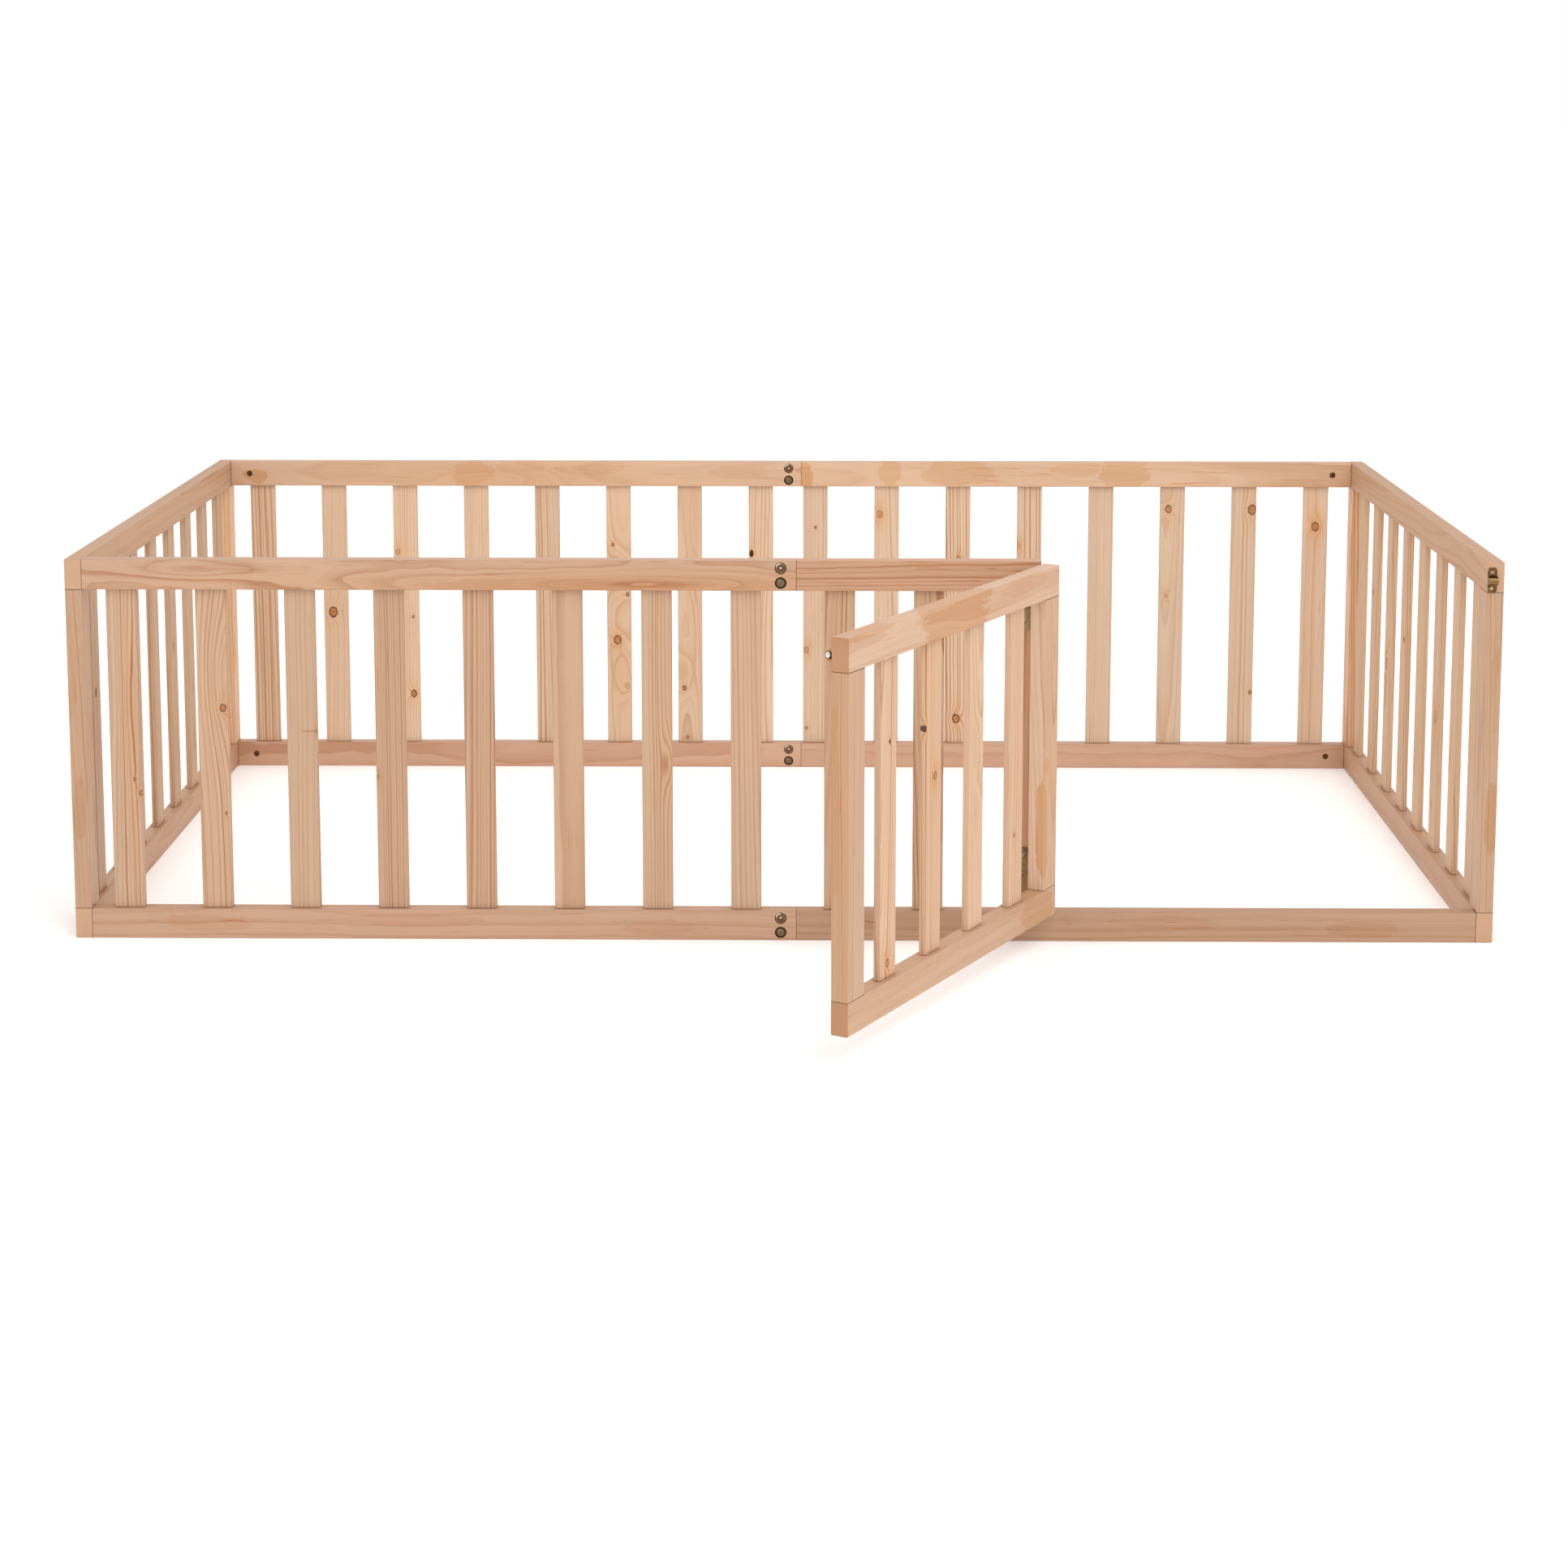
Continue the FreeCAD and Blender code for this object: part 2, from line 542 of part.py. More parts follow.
def make_latch():
    """A barrel bolt on the gate's outer face, drawn back, with the gate closed."""
    plate_x = (GATE_END - LATCH_END_GAP - LATCH_LENGTH, GATE_END - LATCH_END_GAP)
    low = (plate_x[0], FRONT - LATCH_PLATE, LATCH_Z - LATCH_HALF_WIDTH)
    high = (plate_x[1], FRONT, LATCH_Z + LATCH_HALF_WIDTH)
    plate = box(low, high)
    corners = [e for e in plate.Edges if is_flat(e, 0) and is_flat(e, 2)]
    plate = plate.makeFillet(1.5, corners)
    for x in ((plate_x[0], plate_x[0] + STRAP_LENGTH), (plate_x[1] - STRAP_LENGTH, plate_x[1])):
        plate = plate.fuse(strap(x, LATCH_Z, LATCH_PLATE))
    plate = plate.cut(rod_channel((plate_x[0] - 1, plate_x[1] + 1), LATCH_Z, LATCH_PLATE))
    places = [(plate_x[0] + dx, LATCH_Z + dz) for dx in LATCH_SCREWS_X for dz in LATCH_SCREWS_Z]
    screws = small_screws(places, LATCH_PLATE)
    nodes["latch_plate"] = [one_solid(plate.cut(screws))]
    nodes["latch_screws"] = screws
    tip_x = GATE_END - ROD_SHORT
    rod = cylinder((tip_x - ROD_LENGTH, FRONT - ROD_PROUD, LATCH_Z), (1, 0, 0), ROD_RADIUS, ROD_LENGTH)
    rod = rod.makeFillet(ROD_DOME, [e for e in rod.Edges if is_flat(e, 0, tip_x)])
    rod = rod.makeChamfer(0.6, [e for e in rod.Edges if is_flat(e, 0, tip_x - ROD_LENGTH)])
    knob_x = plate_x[0] + STRAP_LENGTH + KNOB_RADIUS + 0.5
    knob = make_knob(knob_x)
    nodes["latch_rod"] = [one_solid(rod.cut(knob))]
    nodes["latch_knob"] = [knob]


def make_knob(x):
    """A turned knob whose stem is screwed into the rod; its profile is spun about the stem."""
    seat_y = ROD_PROUD + ROD_RADIUS - 2.5
    profile = [(0.0, seat_y), (1.6, seat_y), (1.6, seat_y + 3.2), (2.2, seat_y + 4.4),
               (2.2, seat_y + 5.6), (KNOB_RADIUS, seat_y + 7.0), (KNOB_RADIUS, seat_y + 9.4),
               (2.4, seat_y + 10.6), (0.0, seat_y + 11.0)]
    points = [Vector(x + r, FRONT - out, LATCH_Z) for r, out in profile]
    face = Part.Face(Part.makePolygon(points + [points[0]]))
    return one_solid(face.revolve(Vector(x, FRONT, LATCH_Z), Vector(0, 1, 0), 360))


def make_keeper():
    """The strap on the front end of the right side panel that the rod slides into."""
    x = (X_IN + KEEPER_INSET, X_IN + KEEPER_INSET + KEEPER_WIDTH)
    z = (LATCH_Z - KEEPER_HEIGHT / 2, LATCH_Z + KEEPER_HEIGHT / 2)
    plate = box((x[0], FRONT - KEEPER_PLATE, z[0]), (x[1], FRONT, z[1]))
    corners = [e for e in plate.Edges if is_flat(e, 0) and is_flat(e, 2)]
    plate = plate.makeFillet(KEEPER_CORNER, corners)
    half = ROD_RADIUS + ROD_CLEARANCE + STRAP
    arch = cylinder((x[0], FRONT - ROD_PROUD, LATCH_Z), (1, 0, 0), half, KEEPER_WIDTH)
    legs = box((x[0], FRONT - ROD_PROUD, LATCH_Z - half), (x[1], FRONT, LATCH_Z + half))
    shape = plate.fuse(arch).fuse(legs)
    shape = shape.cut(rod_channel((x[0] - 1, x[1] + 1), LATCH_Z, 0.0))
    screw_x = x[0] + KEEPER_WIDTH / 2 - KEEPER_SCREW_SHIFT
    places = [(screw_x, LATCH_Z + side * KEEPER_SCREW_RISE) for side in (-1, 1)]
    screws = small_screws(places, KEEPER_PLATE)
    nodes["keeper"] = [one_solid(shape.cut(screws))]
    nodes["keeper_screws"] = screws


def open_gate(names):
    """Turns the closed gate's nodes about the hinge axis to where the gate stands."""
    for name in names:
        turned = []
        for shape in nodes[name]:
            copy = shape.copy()
            copy.rotate(Vector(HINGE_X, HINGE_Y, 0), Vector(0, 0, 1), -OPEN_ANGLE)
            turned.append(copy)
        nodes[name] = turned


frame_dowels = []
gate_dowels = []
make_panels()
make_gate()
nodes["frame_dowels"] = frame_dowels
nodes["gate_dowels"] = gate_dowels
joint_holes = join_laps() + join_corners()
make_hinges()
make_latch()
make_keeper()

GATE_NODES = [n for n in nodes if n.startswith(("gate_", "latch_")) or n.endswith("gate_leaf")]
TIMBERS = [n for n in nodes if n.endswith(("_rail", "_stile", "_post"))]
GATE_TIMBERS = [n for n in TIMBERS if n in GATE_NODES]
FRAME_TIMBERS = [n for n in TIMBERS if n not in GATE_NODES]

seat(FRAME_TIMBERS, frame_dowels + joint_holes + nodes["post_hinge_screws"] + nodes["keeper_screws"])
seat(GATE_TIMBERS, gate_dowels + nodes["gate_hinge_screws"] + nodes["latch_screws"])
for group in ("post_hinge_screws", "gate_hinge_screws", "latch_screws", "keeper_screws"):
    crossed = []
    for screw in nodes[group]:
        bounds = screw.BoundBox
        head = ((bounds.XMin + bounds.XMax) / 2, bounds.YMin, (bounds.ZMin + bounds.ZMax) / 2)
        crossed.append(one_solid(screw.cut(cross_recess(head, (0, 1, 0), bounds.XLength / 2))))
    nodes[group] = crossed
open_gate(GATE_NODES)

os.makedirs("parts", exist_ok=True)
for name, solids in nodes.items():
    shape = solids[0] if len(solids) == 1 else Part.makeCompound(solids)
    if not shape.isValid():
        raise ValueError("node %s is not valid" % name)
    shape.exportStep("parts/%s.step" % name)
print("%d nodes, %d solids" % (len(nodes), sum(len(s) for s in nodes.values())))
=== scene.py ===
import json
import math

import bpy
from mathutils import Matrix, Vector


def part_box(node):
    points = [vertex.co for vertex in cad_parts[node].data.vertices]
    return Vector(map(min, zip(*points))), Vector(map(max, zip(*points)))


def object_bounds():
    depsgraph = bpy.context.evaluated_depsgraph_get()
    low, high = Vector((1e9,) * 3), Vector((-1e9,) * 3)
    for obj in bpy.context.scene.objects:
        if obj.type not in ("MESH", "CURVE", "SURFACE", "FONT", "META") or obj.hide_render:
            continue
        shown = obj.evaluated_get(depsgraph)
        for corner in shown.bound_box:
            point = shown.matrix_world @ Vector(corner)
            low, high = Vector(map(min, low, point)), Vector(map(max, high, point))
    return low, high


# The looks of a wooden playpen: solid pine with its own grain and knots in every board, bronze
# furniture bolts, brass fittings. Lengths are in metres, except where a comment says millimetres.
# A board's own frame is (across, through, along the grain).

MM = 0.001
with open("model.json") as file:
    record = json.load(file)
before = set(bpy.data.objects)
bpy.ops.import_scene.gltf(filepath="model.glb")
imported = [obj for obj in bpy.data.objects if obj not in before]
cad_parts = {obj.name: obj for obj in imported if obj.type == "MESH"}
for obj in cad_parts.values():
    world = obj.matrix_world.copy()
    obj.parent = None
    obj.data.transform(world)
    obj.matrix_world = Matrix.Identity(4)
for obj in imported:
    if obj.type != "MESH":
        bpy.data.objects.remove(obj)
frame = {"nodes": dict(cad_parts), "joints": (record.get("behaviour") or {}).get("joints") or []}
cad_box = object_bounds()
nodes = frame["nodes"]

GATE_HINGE = next(joint for joint in frame["joints"] if joint["name"] == "gate_hinge")
HINGE_PLACE = Vector(GATE_HINGE["pos_m"])
OPEN_ANGLE = math.radians(max(GATE_HINGE["range_deg"]))     # turns the open gate shut
GATE_RAIL_LENGTH = 602 * MM
STILE_HALF = 21 * MM       # half a gate stile's width
SLAT_WIDTH = 42 * MM
GROUP_SLATS = 8            # slats in a node that holds a row of them
HEAD_FLANGE = 7.9 * MM     # radius of a lap bolt's head
ARCH_HALF = 5.3 * MM       # half the height of the keeper's arch
RIB_PITCH = 2.6 * MM       # from one rib of that arch to the next
rail_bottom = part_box("front_left_bottom_rail")[1].z
rail_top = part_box("front_left_top_rail")[0].z
SEAM = (rail_top - rail_bottom) / 2         # from a slat's middle to where it enters a rail
GATE_SEAM = (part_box("gate_top_rail")[0].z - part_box("gate_bottom_rail")[1].z) / 2


def srgb(red, green, blue):
    """A linear colour from 0-255 display values."""
    out = []
    for value in (red, green, blue):
        value /= 255.0
        out.append(value / 12.92 if value <= 0.04045 else ((value + 0.055) / 1.055) ** 2.4)
    return (*out, 1.0)


# Building node trees

class Graph:
    """Short ways to add nodes to a tree. Inputs may be sockets or numbers."""

    def __init__(self, tree):
        self.tree = tree

    def add(self, kind, **settings):
        node = self.tree.nodes.new(kind)
        for key, value in settings.items():
            setattr(node, key, value)
        return node

    def put(self, socket, value):
        if isinstance(value, bpy.types.NodeSocket):
            self.tree.links.new(value, socket)
        elif value is not None:
            socket.default_value = value

    def math(self, operation, a, b=None, c=None, clamp=False):
        node = self.add("ShaderNodeMath", operation=operation, use_clamp=clamp)
        for socket, value in zip(node.inputs, (a, b, c)):
            self.put(socket, value)
        return node.outputs[0]

    def vmath(self, operation, a, b=None, scale=None):
        node = self.add("ShaderNodeVectorMath", operation=operation)
        self.put(node.inputs[0], a)
        if b is not None:
            self.put(node.inputs[1], b)
        if scale is not None:
            self.put(node.inputs["Scale"], scale)
        return node.outputs["Value" if operation == "LENGTH" else "Vector"]

    def split(self, vector):
        node = self.add("ShaderNodeSeparateXYZ")
        self.put(node.inputs[0], vector)
        return list(node.outputs)

    def join(self, x, y, z):
        node = self.add("ShaderNodeCombineXYZ")
        for socket, value in zip(node.inputs, (x, y, z)):
            self.put(socket, value)
        return node.outputs[0]

    def step(self, value, low, high):
        """0 at low and 1 at high, with a smooth change between them."""
        node = self.add("ShaderNodeMapRange", interpolation_type="SMOOTHSTEP")
        for socket, source in zip(node.inputs, (value, low, high)):
            self.put(socket, source)
        return node.outputs[0]

    def mix(self, share, a, b, blend="MIX"):
        """A mix of two colours. The node's sockets share their names, so they go by number."""
        node = self.add("ShaderNodeMix", data_type="RGBA", blend_type=blend)
        self.put(node.inputs[0], share)
        self.put(node.inputs[6], a)
        self.put(node.inputs[7], b)
        return node.outputs[2]

    def noise(self, vector, scale=1.0, detail=2.0, roughness=0.5, color=False):
        node = self.add("ShaderNodeTexNoise")
        self.put(node.inputs["Vector"], vector)
        node.inputs["Scale"].default_value = scale
        node.inputs["Detail"].default_value = detail
        node.inputs["Roughness"].default_value = roughness
        return node.outputs["Color" if color else "Fac"]

    def random(self, value):
        """A fixed random number from 0 to 1 for each whole number."""
        node = self.add("ShaderNodeTexWhiteNoise", noise_dimensions="1D")
        self.put(node.inputs["W"], value)
        return node.outputs["Value"]

    def ramp(self, share, stops, interpolation="LINEAR"):
        """A colour by share, from (share, colour) stops in rising order."""
        node = self.add("ShaderNodeValToRGB")
        node.color_ramp.interpolation = interpolation
        elements = node.color_ramp.elements
        while len(elements) < len(stops):
            elements.new(0.5)
        for element, (position, colour) in zip(elements, stops):
            element.position = position
            element.color = colour
        self.put(node.inputs[0], share)
        return node.outputs[0]

    def use(self, group, **inputs):
        node = self.add("ShaderNodeGroup", node_tree=group)
        for key, value in inputs.items():
            self.put(node.inputs[key], value)
        return node.outputs


def new_group(name, inputs, outputs):
    tree = bpy.data.node_groups.new(name, "ShaderNodeTree")
    for names, direction in ((inputs, "INPUT"), (outputs, "OUTPUT")):
        for key, kind in names:
            tree.interface.new_socket(key, in_out=direction, socket_type="NodeSocket" + kind)
    graph = Graph(tree)
    entry = graph.add("NodeGroupInput")
    leave = graph.add("NodeGroupOutput")
    return graph, entry.outputs, leave.inputs


def new_material(name):
    material = bpy.data.materials.new(name)
    material.use_nodes = True
    shader = material.node_tree.nodes["Principled BSDF"]
    return material, Graph(material.node_tree), shader


def make_surface(g, shader, colour, roughness, height, strength, depth):
    """Joins a colour, a roughness and a bump of this strength and depth to a shader."""
    g.put(shader.inputs["Base Color"], colour)
    g.put(shader.inputs["Roughness"], roughness)
    bump = g.add("ShaderNodeBump")
    bump.inputs["Strength"].default_value = strength
    bump.inputs["Distance"].default_value = depth
    g.put(bump.inputs["Height"], height)
    g.put(shader.inputs["Normal"], bump.outputs[0])


def make_knot_group():
    """Adds one knot to the fields that the pine group reads: the bend of the rings round it,
    its core, the rings inside it and the resin-stained halo above and below it. Slim is how much
    longer it is along the grain. With Dark at 0 it is only a swirl of the grain, and at 1 it is
    dark all through."""
    fields = [("Bend", "Float"), ("Core", "Float"), ("Rings", "Float"), ("Halo", "Float")]
    own = [("Place", "Vector"), ("Centre", "Vector"), ("Radius", "Float"), ("Slim", "Float"),
           ("Dark", "Float"), ("Stain", "Float")]
    g, i, o = new_group("Knot", own + fields, fields)

    # How far from the knot's middle, where 1 is its edge
    away = g.vmath("SUBTRACT", i["Place"], i["Centre"])
    across, _, along = g.split(away)
    across = g.math("DIVIDE", across, i["Radius"])
    along = g.math("DIVIDE", along, g.math("MULTIPLY", i["Radius"], i["Slim"]))
    wobble = g.math("SUBTRACT", g.noise(i["Place"], 260.0, 2.0), 0.5)
    distance = g.vmath("LENGTH", g.join(across, 0.0, along))
    uneven = g.math("MULTIPLY_ADD", wobble, 0.5, distance)

    # The board's own rings swell round it
    reach = g.math("MULTIPLY", g.math("MULTIPLY", distance, distance), -0.38)
    bend = g.math("MULTIPLY", g.math("MULTIPLY", g.math("EXPONENT", reach), i["Radius"]), 1.25)
    g.put(o["Bend"], g.math("ADD", i["Bend"], bend))

    # The core and the rings inside it. The darkest knots have the colour of the rim all through.
    core = g.step(uneven, 1.10, 0.90)
    drawn = g.math("GREATER_THAN", i["Dark"], 0.01)
    inside = g.math("MULTIPLY", g.math("GREATER_THAN", core, 0.01), drawn)
    g.put(o["Core"], g.math("MAXIMUM", i["Core"], g.math("MULTIPLY", core, i["Dark"])))
    solid = g.math("MULTIPLY", g.math("GREATER_THAN", i["Dark"], 0.95), 0.8)
    g.put(o["Rings"], g.math("ADD", g.math("MULTIPLY", g.math("MAXIMUM", uneven, solid), inside),
                             g.math("MULTIPLY", i["Rings"], g.math("SUBTRACT", 1.0, inside))))

    # The halo reaches further along the grain than across it
    wide = g.math("MULTIPLY", across, 0.50)
    tall = g.math("MULTIPLY", along, 0.26)
    spread = g.math("ADD", g.math("MULTIPLY", wide, wide), g.math("MULTIPLY", tall, tall))
    halo = g.math("MULTIPLY", g.math("EXPONENT", g.math("MULTIPLY", spread, -1.0)), i["Stain"])
    g.put(o["Halo"], g.math("MAXIMUM", i["Halo"], halo))
    return g.tree


def make_patch_group():
    """Adds one stained area, or one of painted shade, with a ragged border to a field. It lies within Half
    of Centre.
    """
    own = [("Place", "Vector"), ("Centre", "Vector"), ("Half", "Vector"), ("Amount", "Float"),
           ("Patch", "Float")]
    g, i, o = new_group("Patch", own, [("Patch", "Float")])
    stretched = g.vmath("MULTIPLY", i["Place"], (62.0, 62.0, 20.0))
    rag = g.math("MULTIPLY", g.math("SUBTRACT", g.noise(stretched, 1.0, 5.0, 0.6), 0.5), 1.5)
    away = g.vmath("DIVIDE", g.vmath("SUBTRACT", i["Place"], i["Centre"]), i["Half"])
    edge = g.math("ADD", g.vmath("LENGTH", away), rag)
    area = g.math("MULTIPLY", g.step(edge, 1.06, 0.94), i["Amount"])
    g.put(o["Patch"], g.math("MAXIMUM", i["Patch"], area))
    return g.tree


# Noise in the wood, as (stretch across the grain, stretch along it, detail, roughness)
LONG_WAVES = (5.0, 2.6, 1.0, 0.4)
SHORT_WAVES = (22.0, 13.0, 2.0, 0.5)
STREAKS = (520.0, 7.0, 3.0, 0.6)
FIBRES = (1900.0, 40.0, 2.0, 0.6)
BLOTCHES = (16.0, 3.4, 3.0, 0.55)
WARMTH = (30.0, 1.8, 2.0, 0.5)
RESIN_DUCTS = (340.0, 11.0, 2.0, 0.5)

# Tints, which multiply the wood's own colour. The end tint is painted shade on the gate's end grain,
# and the stain tint is also painted shade on some faces of the gate.
FLECK_TINT = srgb(232, 190, 150)
STAIN_AND_SHADE_TINT = srgb(244, 223, 193)
GATE_END_SHADE = srgb(231, 212, 196)
HALO_TINT = srgb(252, 222, 180)

# Colours that are mixed into it. The last two are painted shade, along the long edges and where boards
# meet.
END_GRAIN = srgb(198, 162, 132)
KNOT_WOOD = srgb(204, 134, 78)
KNOT_HOOP = srgb(146, 84, 46)
KNOT_HEART = srgb(80, 40, 22)
KNOT_RIM = srgb(62, 28, 14)
EDGE_SHADE = srgb(150, 112, 84)
JOINT_SHADE = srgb(92, 60, 40)


def make_pine_group():
    """Flat-sawn pine: growth rings about a pith that runs beside the board, bent round knots.
    Pith is where it is across and through, and its lean. Seam is how far from the middle joint lines
    cross the grain, End how far the bare end grain is, and Arris how far the long edges are."""
    inputs = [("Place", "Vector"), ("Seed", "Float"), ("Pith", "Vector"), ("Tilt", "Float"),
              ("Spacing", "Float"), ("Wave", "Float"), ("Contrast", "Float"), ("Shade", "Float"),
              ("Seam", "Float"), ("End", "Float"), ("EndShade", "Float"), ("Arris", "Float"),
              ("Flecks", "Float"), ("Bend", "Float"), ("Core", "Float"), ("Rings", "Float"),
              ("Halo", "Float"), ("Patch", "Float"), ("Early", "Color"), ("Late", "Color")]
    outputs = [("Color", "Color"), ("Roughness", "Float"), ("Height", "Float")]
    g, i, o = new_group("Pine", inputs, outputs)
    shift = g.join(g.math("MULTIPLY", i["Seed"], 3.7), g.math("MULTIPLY", i["Seed"], 1.9),
                   g.math("MULTIPLY", i["Seed"], 5.3))

    def wood_noise(across, along, detail, roughness, color=False):
        """Noise stretched along the grain, from a place of its own for each seed."""
        stretched = g.vmath("MULTIPLY", i["Place"], (across, across, along))
        return g.noise(g.vmath("ADD", stretched, shift), 1.0, detail, roughness, color)

    def centred(value):
        return g.math("SUBTRACT", value, 0.5)

    # The distance from the pith, in a frame that long and short waves warp
    long_wave = g.vmath("SUBTRACT", wood_noise(*LONG_WAVES, color=True), (0.5, 0.5, 0.5))
    short_wave = g.vmath("SUBTRACT", wood_noise(*SHORT_WAVES, color=True), (0.5, 0.5, 0.5))
    warp = g.vmath("ADD", long_wave, g.vmath("SCALE", short_wave, scale=0.20))
    warp = g.vmath("SCALE", warp, scale=i["Wave"])
    across, through, along = g.split(g.vmath("ADD", i["Place"], warp))
    pith_across, pith_through, lean = g.split(i["Pith"])
    across = g.math("SUBTRACT", g.math("MULTIPLY_ADD", along, lean, across), pith_across)
    through = g.math("SUBTRACT", g.math("MULTIPLY_ADD", along, i["Tilt"], through), pith_through)
    radius = g.math("ADD", g.vmath("LENGTH", g.join(across, through, 0.0)), i["Bend"])

    # Years are wide or narrow, and strong or faint. Each darkens slowly outwards and ends sharply.
    uneven = centred(g.noise(g.join(g.math("MULTIPLY", radius, 75.0), i["Seed"], 0.0), 1.0, 1.0))
    turn = g.math("MULTIPLY_ADD", uneven, 2.4, g.math("DIVIDE", radius, i["Spacing"]))
    ring = g.math("FLOOR", turn)
    share = g.math("FRACT", turn)
    chance = g.random(g.math("MULTIPLY_ADD", i["Seed"], 31.0, ring))
    rise = g.step(share, 0.30, 0.94)
    fall = g.step(share, 0.93, 1.0)
    band = g.math("MULTIPLY", g.math("POWER", rise, 1.4), g.math("SUBTRACT", 1.0, fall))
    late = g.math("MULTIPLY", band, g.math("MULTIPLY_ADD", g.math("POWER", chance, 1.8), 0.9, 0.22))

    grain = g.join(g.math("MULTIPLY", radius, 420.0), g.math("MULTIPLY", through, 60.0),
                   g.math("MULTIPLY_ADD", along, 3.0, i["Seed"]))
    threads = centred(g.noise(grain, 1.0, 3.0, 0.65))
    streak = centred(wood_noise(*STREAKS))
    fibre = centred(wood_noise(*FIBRES))
    blotch = centred(wood_noise(*BLOTCHES))
    warm = centred(wood_noise(*WARMTH))

    # How much late wood there is, from none at 0 to all at 1, and the wood's colour from that
    own_across, _, own_along = g.split(i["Place"])
    own_across = g.math("ABSOLUTE", own_across)
    own_along = g.math("ABSOLUTE", own_along)
    end_grain = g.step(g.math("SUBTRACT", own_along, i["End"]), -0.9 * MM, -0.5 * MM)
    contrast = g.math("MULTIPLY", i["Contrast"], g.math("MULTIPLY_ADD", end_grain, -0.9, 1.3))
    late = g.math("MULTIPLY", late, contrast)
    late = g.math("MULTIPLY_ADD", g.math("MULTIPLY", threads, contrast), 0.75, late)
    late = g.math("MULTIPLY_ADD", streak, 0.26, late)
    late = g.math("MULTIPLY_ADD", warm, 0.35, late)
    late = g.math("ADD", late, 0.10, clamp=True)
    colour = g.mix(late, i["Early"], i["Late"])
    value = g.math("MULTIPLY_ADD", blotch, 0.17, i["Shade"])
    value = g.math("MULTIPLY_ADD", fibre, 0.14, value)
    colour = g.vmath("SCALE", colour, scale=value)

    # Resin flecks, stains (some of them painted shade on the gate), end grain, painted shade on the gate's
    # end grain, and halos
    ducts = g.step(wood_noise(*RESIN_DUCTS), 0.66, 0.76)
    colour = g.mix(g.math("MULTIPLY", ducts, i["Flecks"]), colour, FLECK_TINT, "MULTIPLY")
    colour = g.mix(i["Patch"], colour, STAIN_AND_SHADE_TINT, "MULTIPLY")
    colour = g.mix(g.math("MULTIPLY", end_grain, 0.4), colour, END_GRAIN)
    # Painted shade on the gate's end grain
    colour = g.mix(g.math("MULTIPLY", end_grain, i["EndShade"]), colour, GATE_END_SHADE, "MULTIPLY")
    colour = g.mix(g.math("MULTIPLY", i["Halo"], 0.9), colour, HALO_TINT, "MULTIPLY")

    # The inside of knots: hoops, a dark heart and a dark rim
    hoops = g.math("SINE", g.math("MULTIPLY", i["Rings"], 15.0))
    hoops = g.math("MULTIPLY_ADD", hoops, 0.5, 0.5)
    heart = g.mix(hoops, KNOT_WOOD, KNOT_HOOP)
    heart = g.mix(g.math("MULTIPLY", g.step(i["Rings"], 0.30, 0.08), 0.7), heart, KNOT_HEART)
    rim = g.math("MULTIPLY", g.step(i["Rings"], 0.62, 0.80), g.math("LESS_THAN", i["Rings"], 1.3))
    heart = g.mix(rim, heart, KNOT_RIM)
    colour = g.mix(i["Core"], colour, heart)

    # Painted shade along the long edges, broken up by the fibres, and painted shade in the crevice where a
    # board meets another
    to_edge = g.math("SUBTRACT", own_across, i["Arris"])
    arris = g.math("MULTIPLY", g.step(to_edge, -1.3 * MM, -0.5 * MM), g.step(fibre, -0.25, 0.15))
    colour = g.mix(g.math("MULTIPLY", arris, 0.30), colour, EDGE_SHADE)
    joint = g.step(g.math("SUBTRACT", own_along, i["Seam"]), -1.2 * MM, -0.5 * MM)
    colour = g.mix(g.math("MULTIPLY", joint, 0.8), colour, JOINT_SHADE)
    g.put(o["Color"], colour)

    rough = g.math("MULTIPLY_ADD", fibre, 0.25, g.math("MULTIPLY_ADD", late, -0.10, 0.50))
    rough = g.math("MULTIPLY_ADD", i["Core"], -0.12, rough)
    g.put(o["Roughness"], g.math("MULTIPLY_ADD", blotch, 0.15, rough))
    height = g.math("MULTIPLY_ADD", fibre, 0.9, g.math("MULTIPLY", late, 0.35))
    g.put(o["Height"], g.math("MULTIPLY_ADD", i["Core"], -0.5, height))
    return g.tree


KNOT = make_knot_group()
PATCH = make_patch_group()
PINE = make_pine_group()
AXES = {"X": 0, "Y": 1, "Z": 2}
FAR = 10.0                       # beyond every board: turns a mark off
EARLY = (1.035, 1.06, 1.085)     # pale wood, as a share of a board's mean tone
LATE = (0.87, 0.74, 0.62)        # the dark edge of a growth ring
NO_KNOT = 5.0                    # a distance from a knot, in its radii, that is well outside it
USUAL_SLIM = 1.25                # how much longer than wide a knot is, where the list doesn't say
ALL_THROUGH = (0.0, 1000.0)      # likewise a patch's middle and half size through it, in millimetres
ROW_SEED_STEP = 7.0              # from one slat to the next, in a row that shares a node
SLAT_SEED_STEP = 2.3             # the same, where each slat is a node


def shut_gate(g, place):
    """A point of the open gate, turned back to where it is when the gate is shut."""
    node = g.add("ShaderNodeVectorRotate", rotation_type="Z_AXIS")
    g.put(node.inputs["Vector"], place)
    node.inputs["Center"].default_value = HINGE_PLACE
    node.inputs["Angle"].default_value = OPEN_ANGLE
    return node.outputs[0]


def pick(g, index, values):
    """A number from a short list, by a slat's place in its row."""
    low, high = min(values), max(values)
    span = max(high - low, 1e-9)
    stops = []
    for place, value in enumerate(values):
        level = (value - low) / span
        stops.append((place / len(values), (level, level, level, 1.0)))
    share = g.math("DIVIDE", g.math("ADD", index, 0.5), float(len(values)))
    return g.math("MULTIPLY_ADD", g.ramp(share, stops, "CONSTANT"), span, low)


def find_slat(g, across, pitch):
    """Which slat of a row a point is on, counted from 0, and how far across that slat it is."""
    half = pitch / 2
    shifted = g.math("ADD", across, half * GROUP_SLATS)
    index = g.math("FLOOR", g.math("DIVIDE", shifted, pitch))
    return index, g.math("SUBTRACT", g.math("MULTIPLY_ADD", index, -pitch, shifted), half)


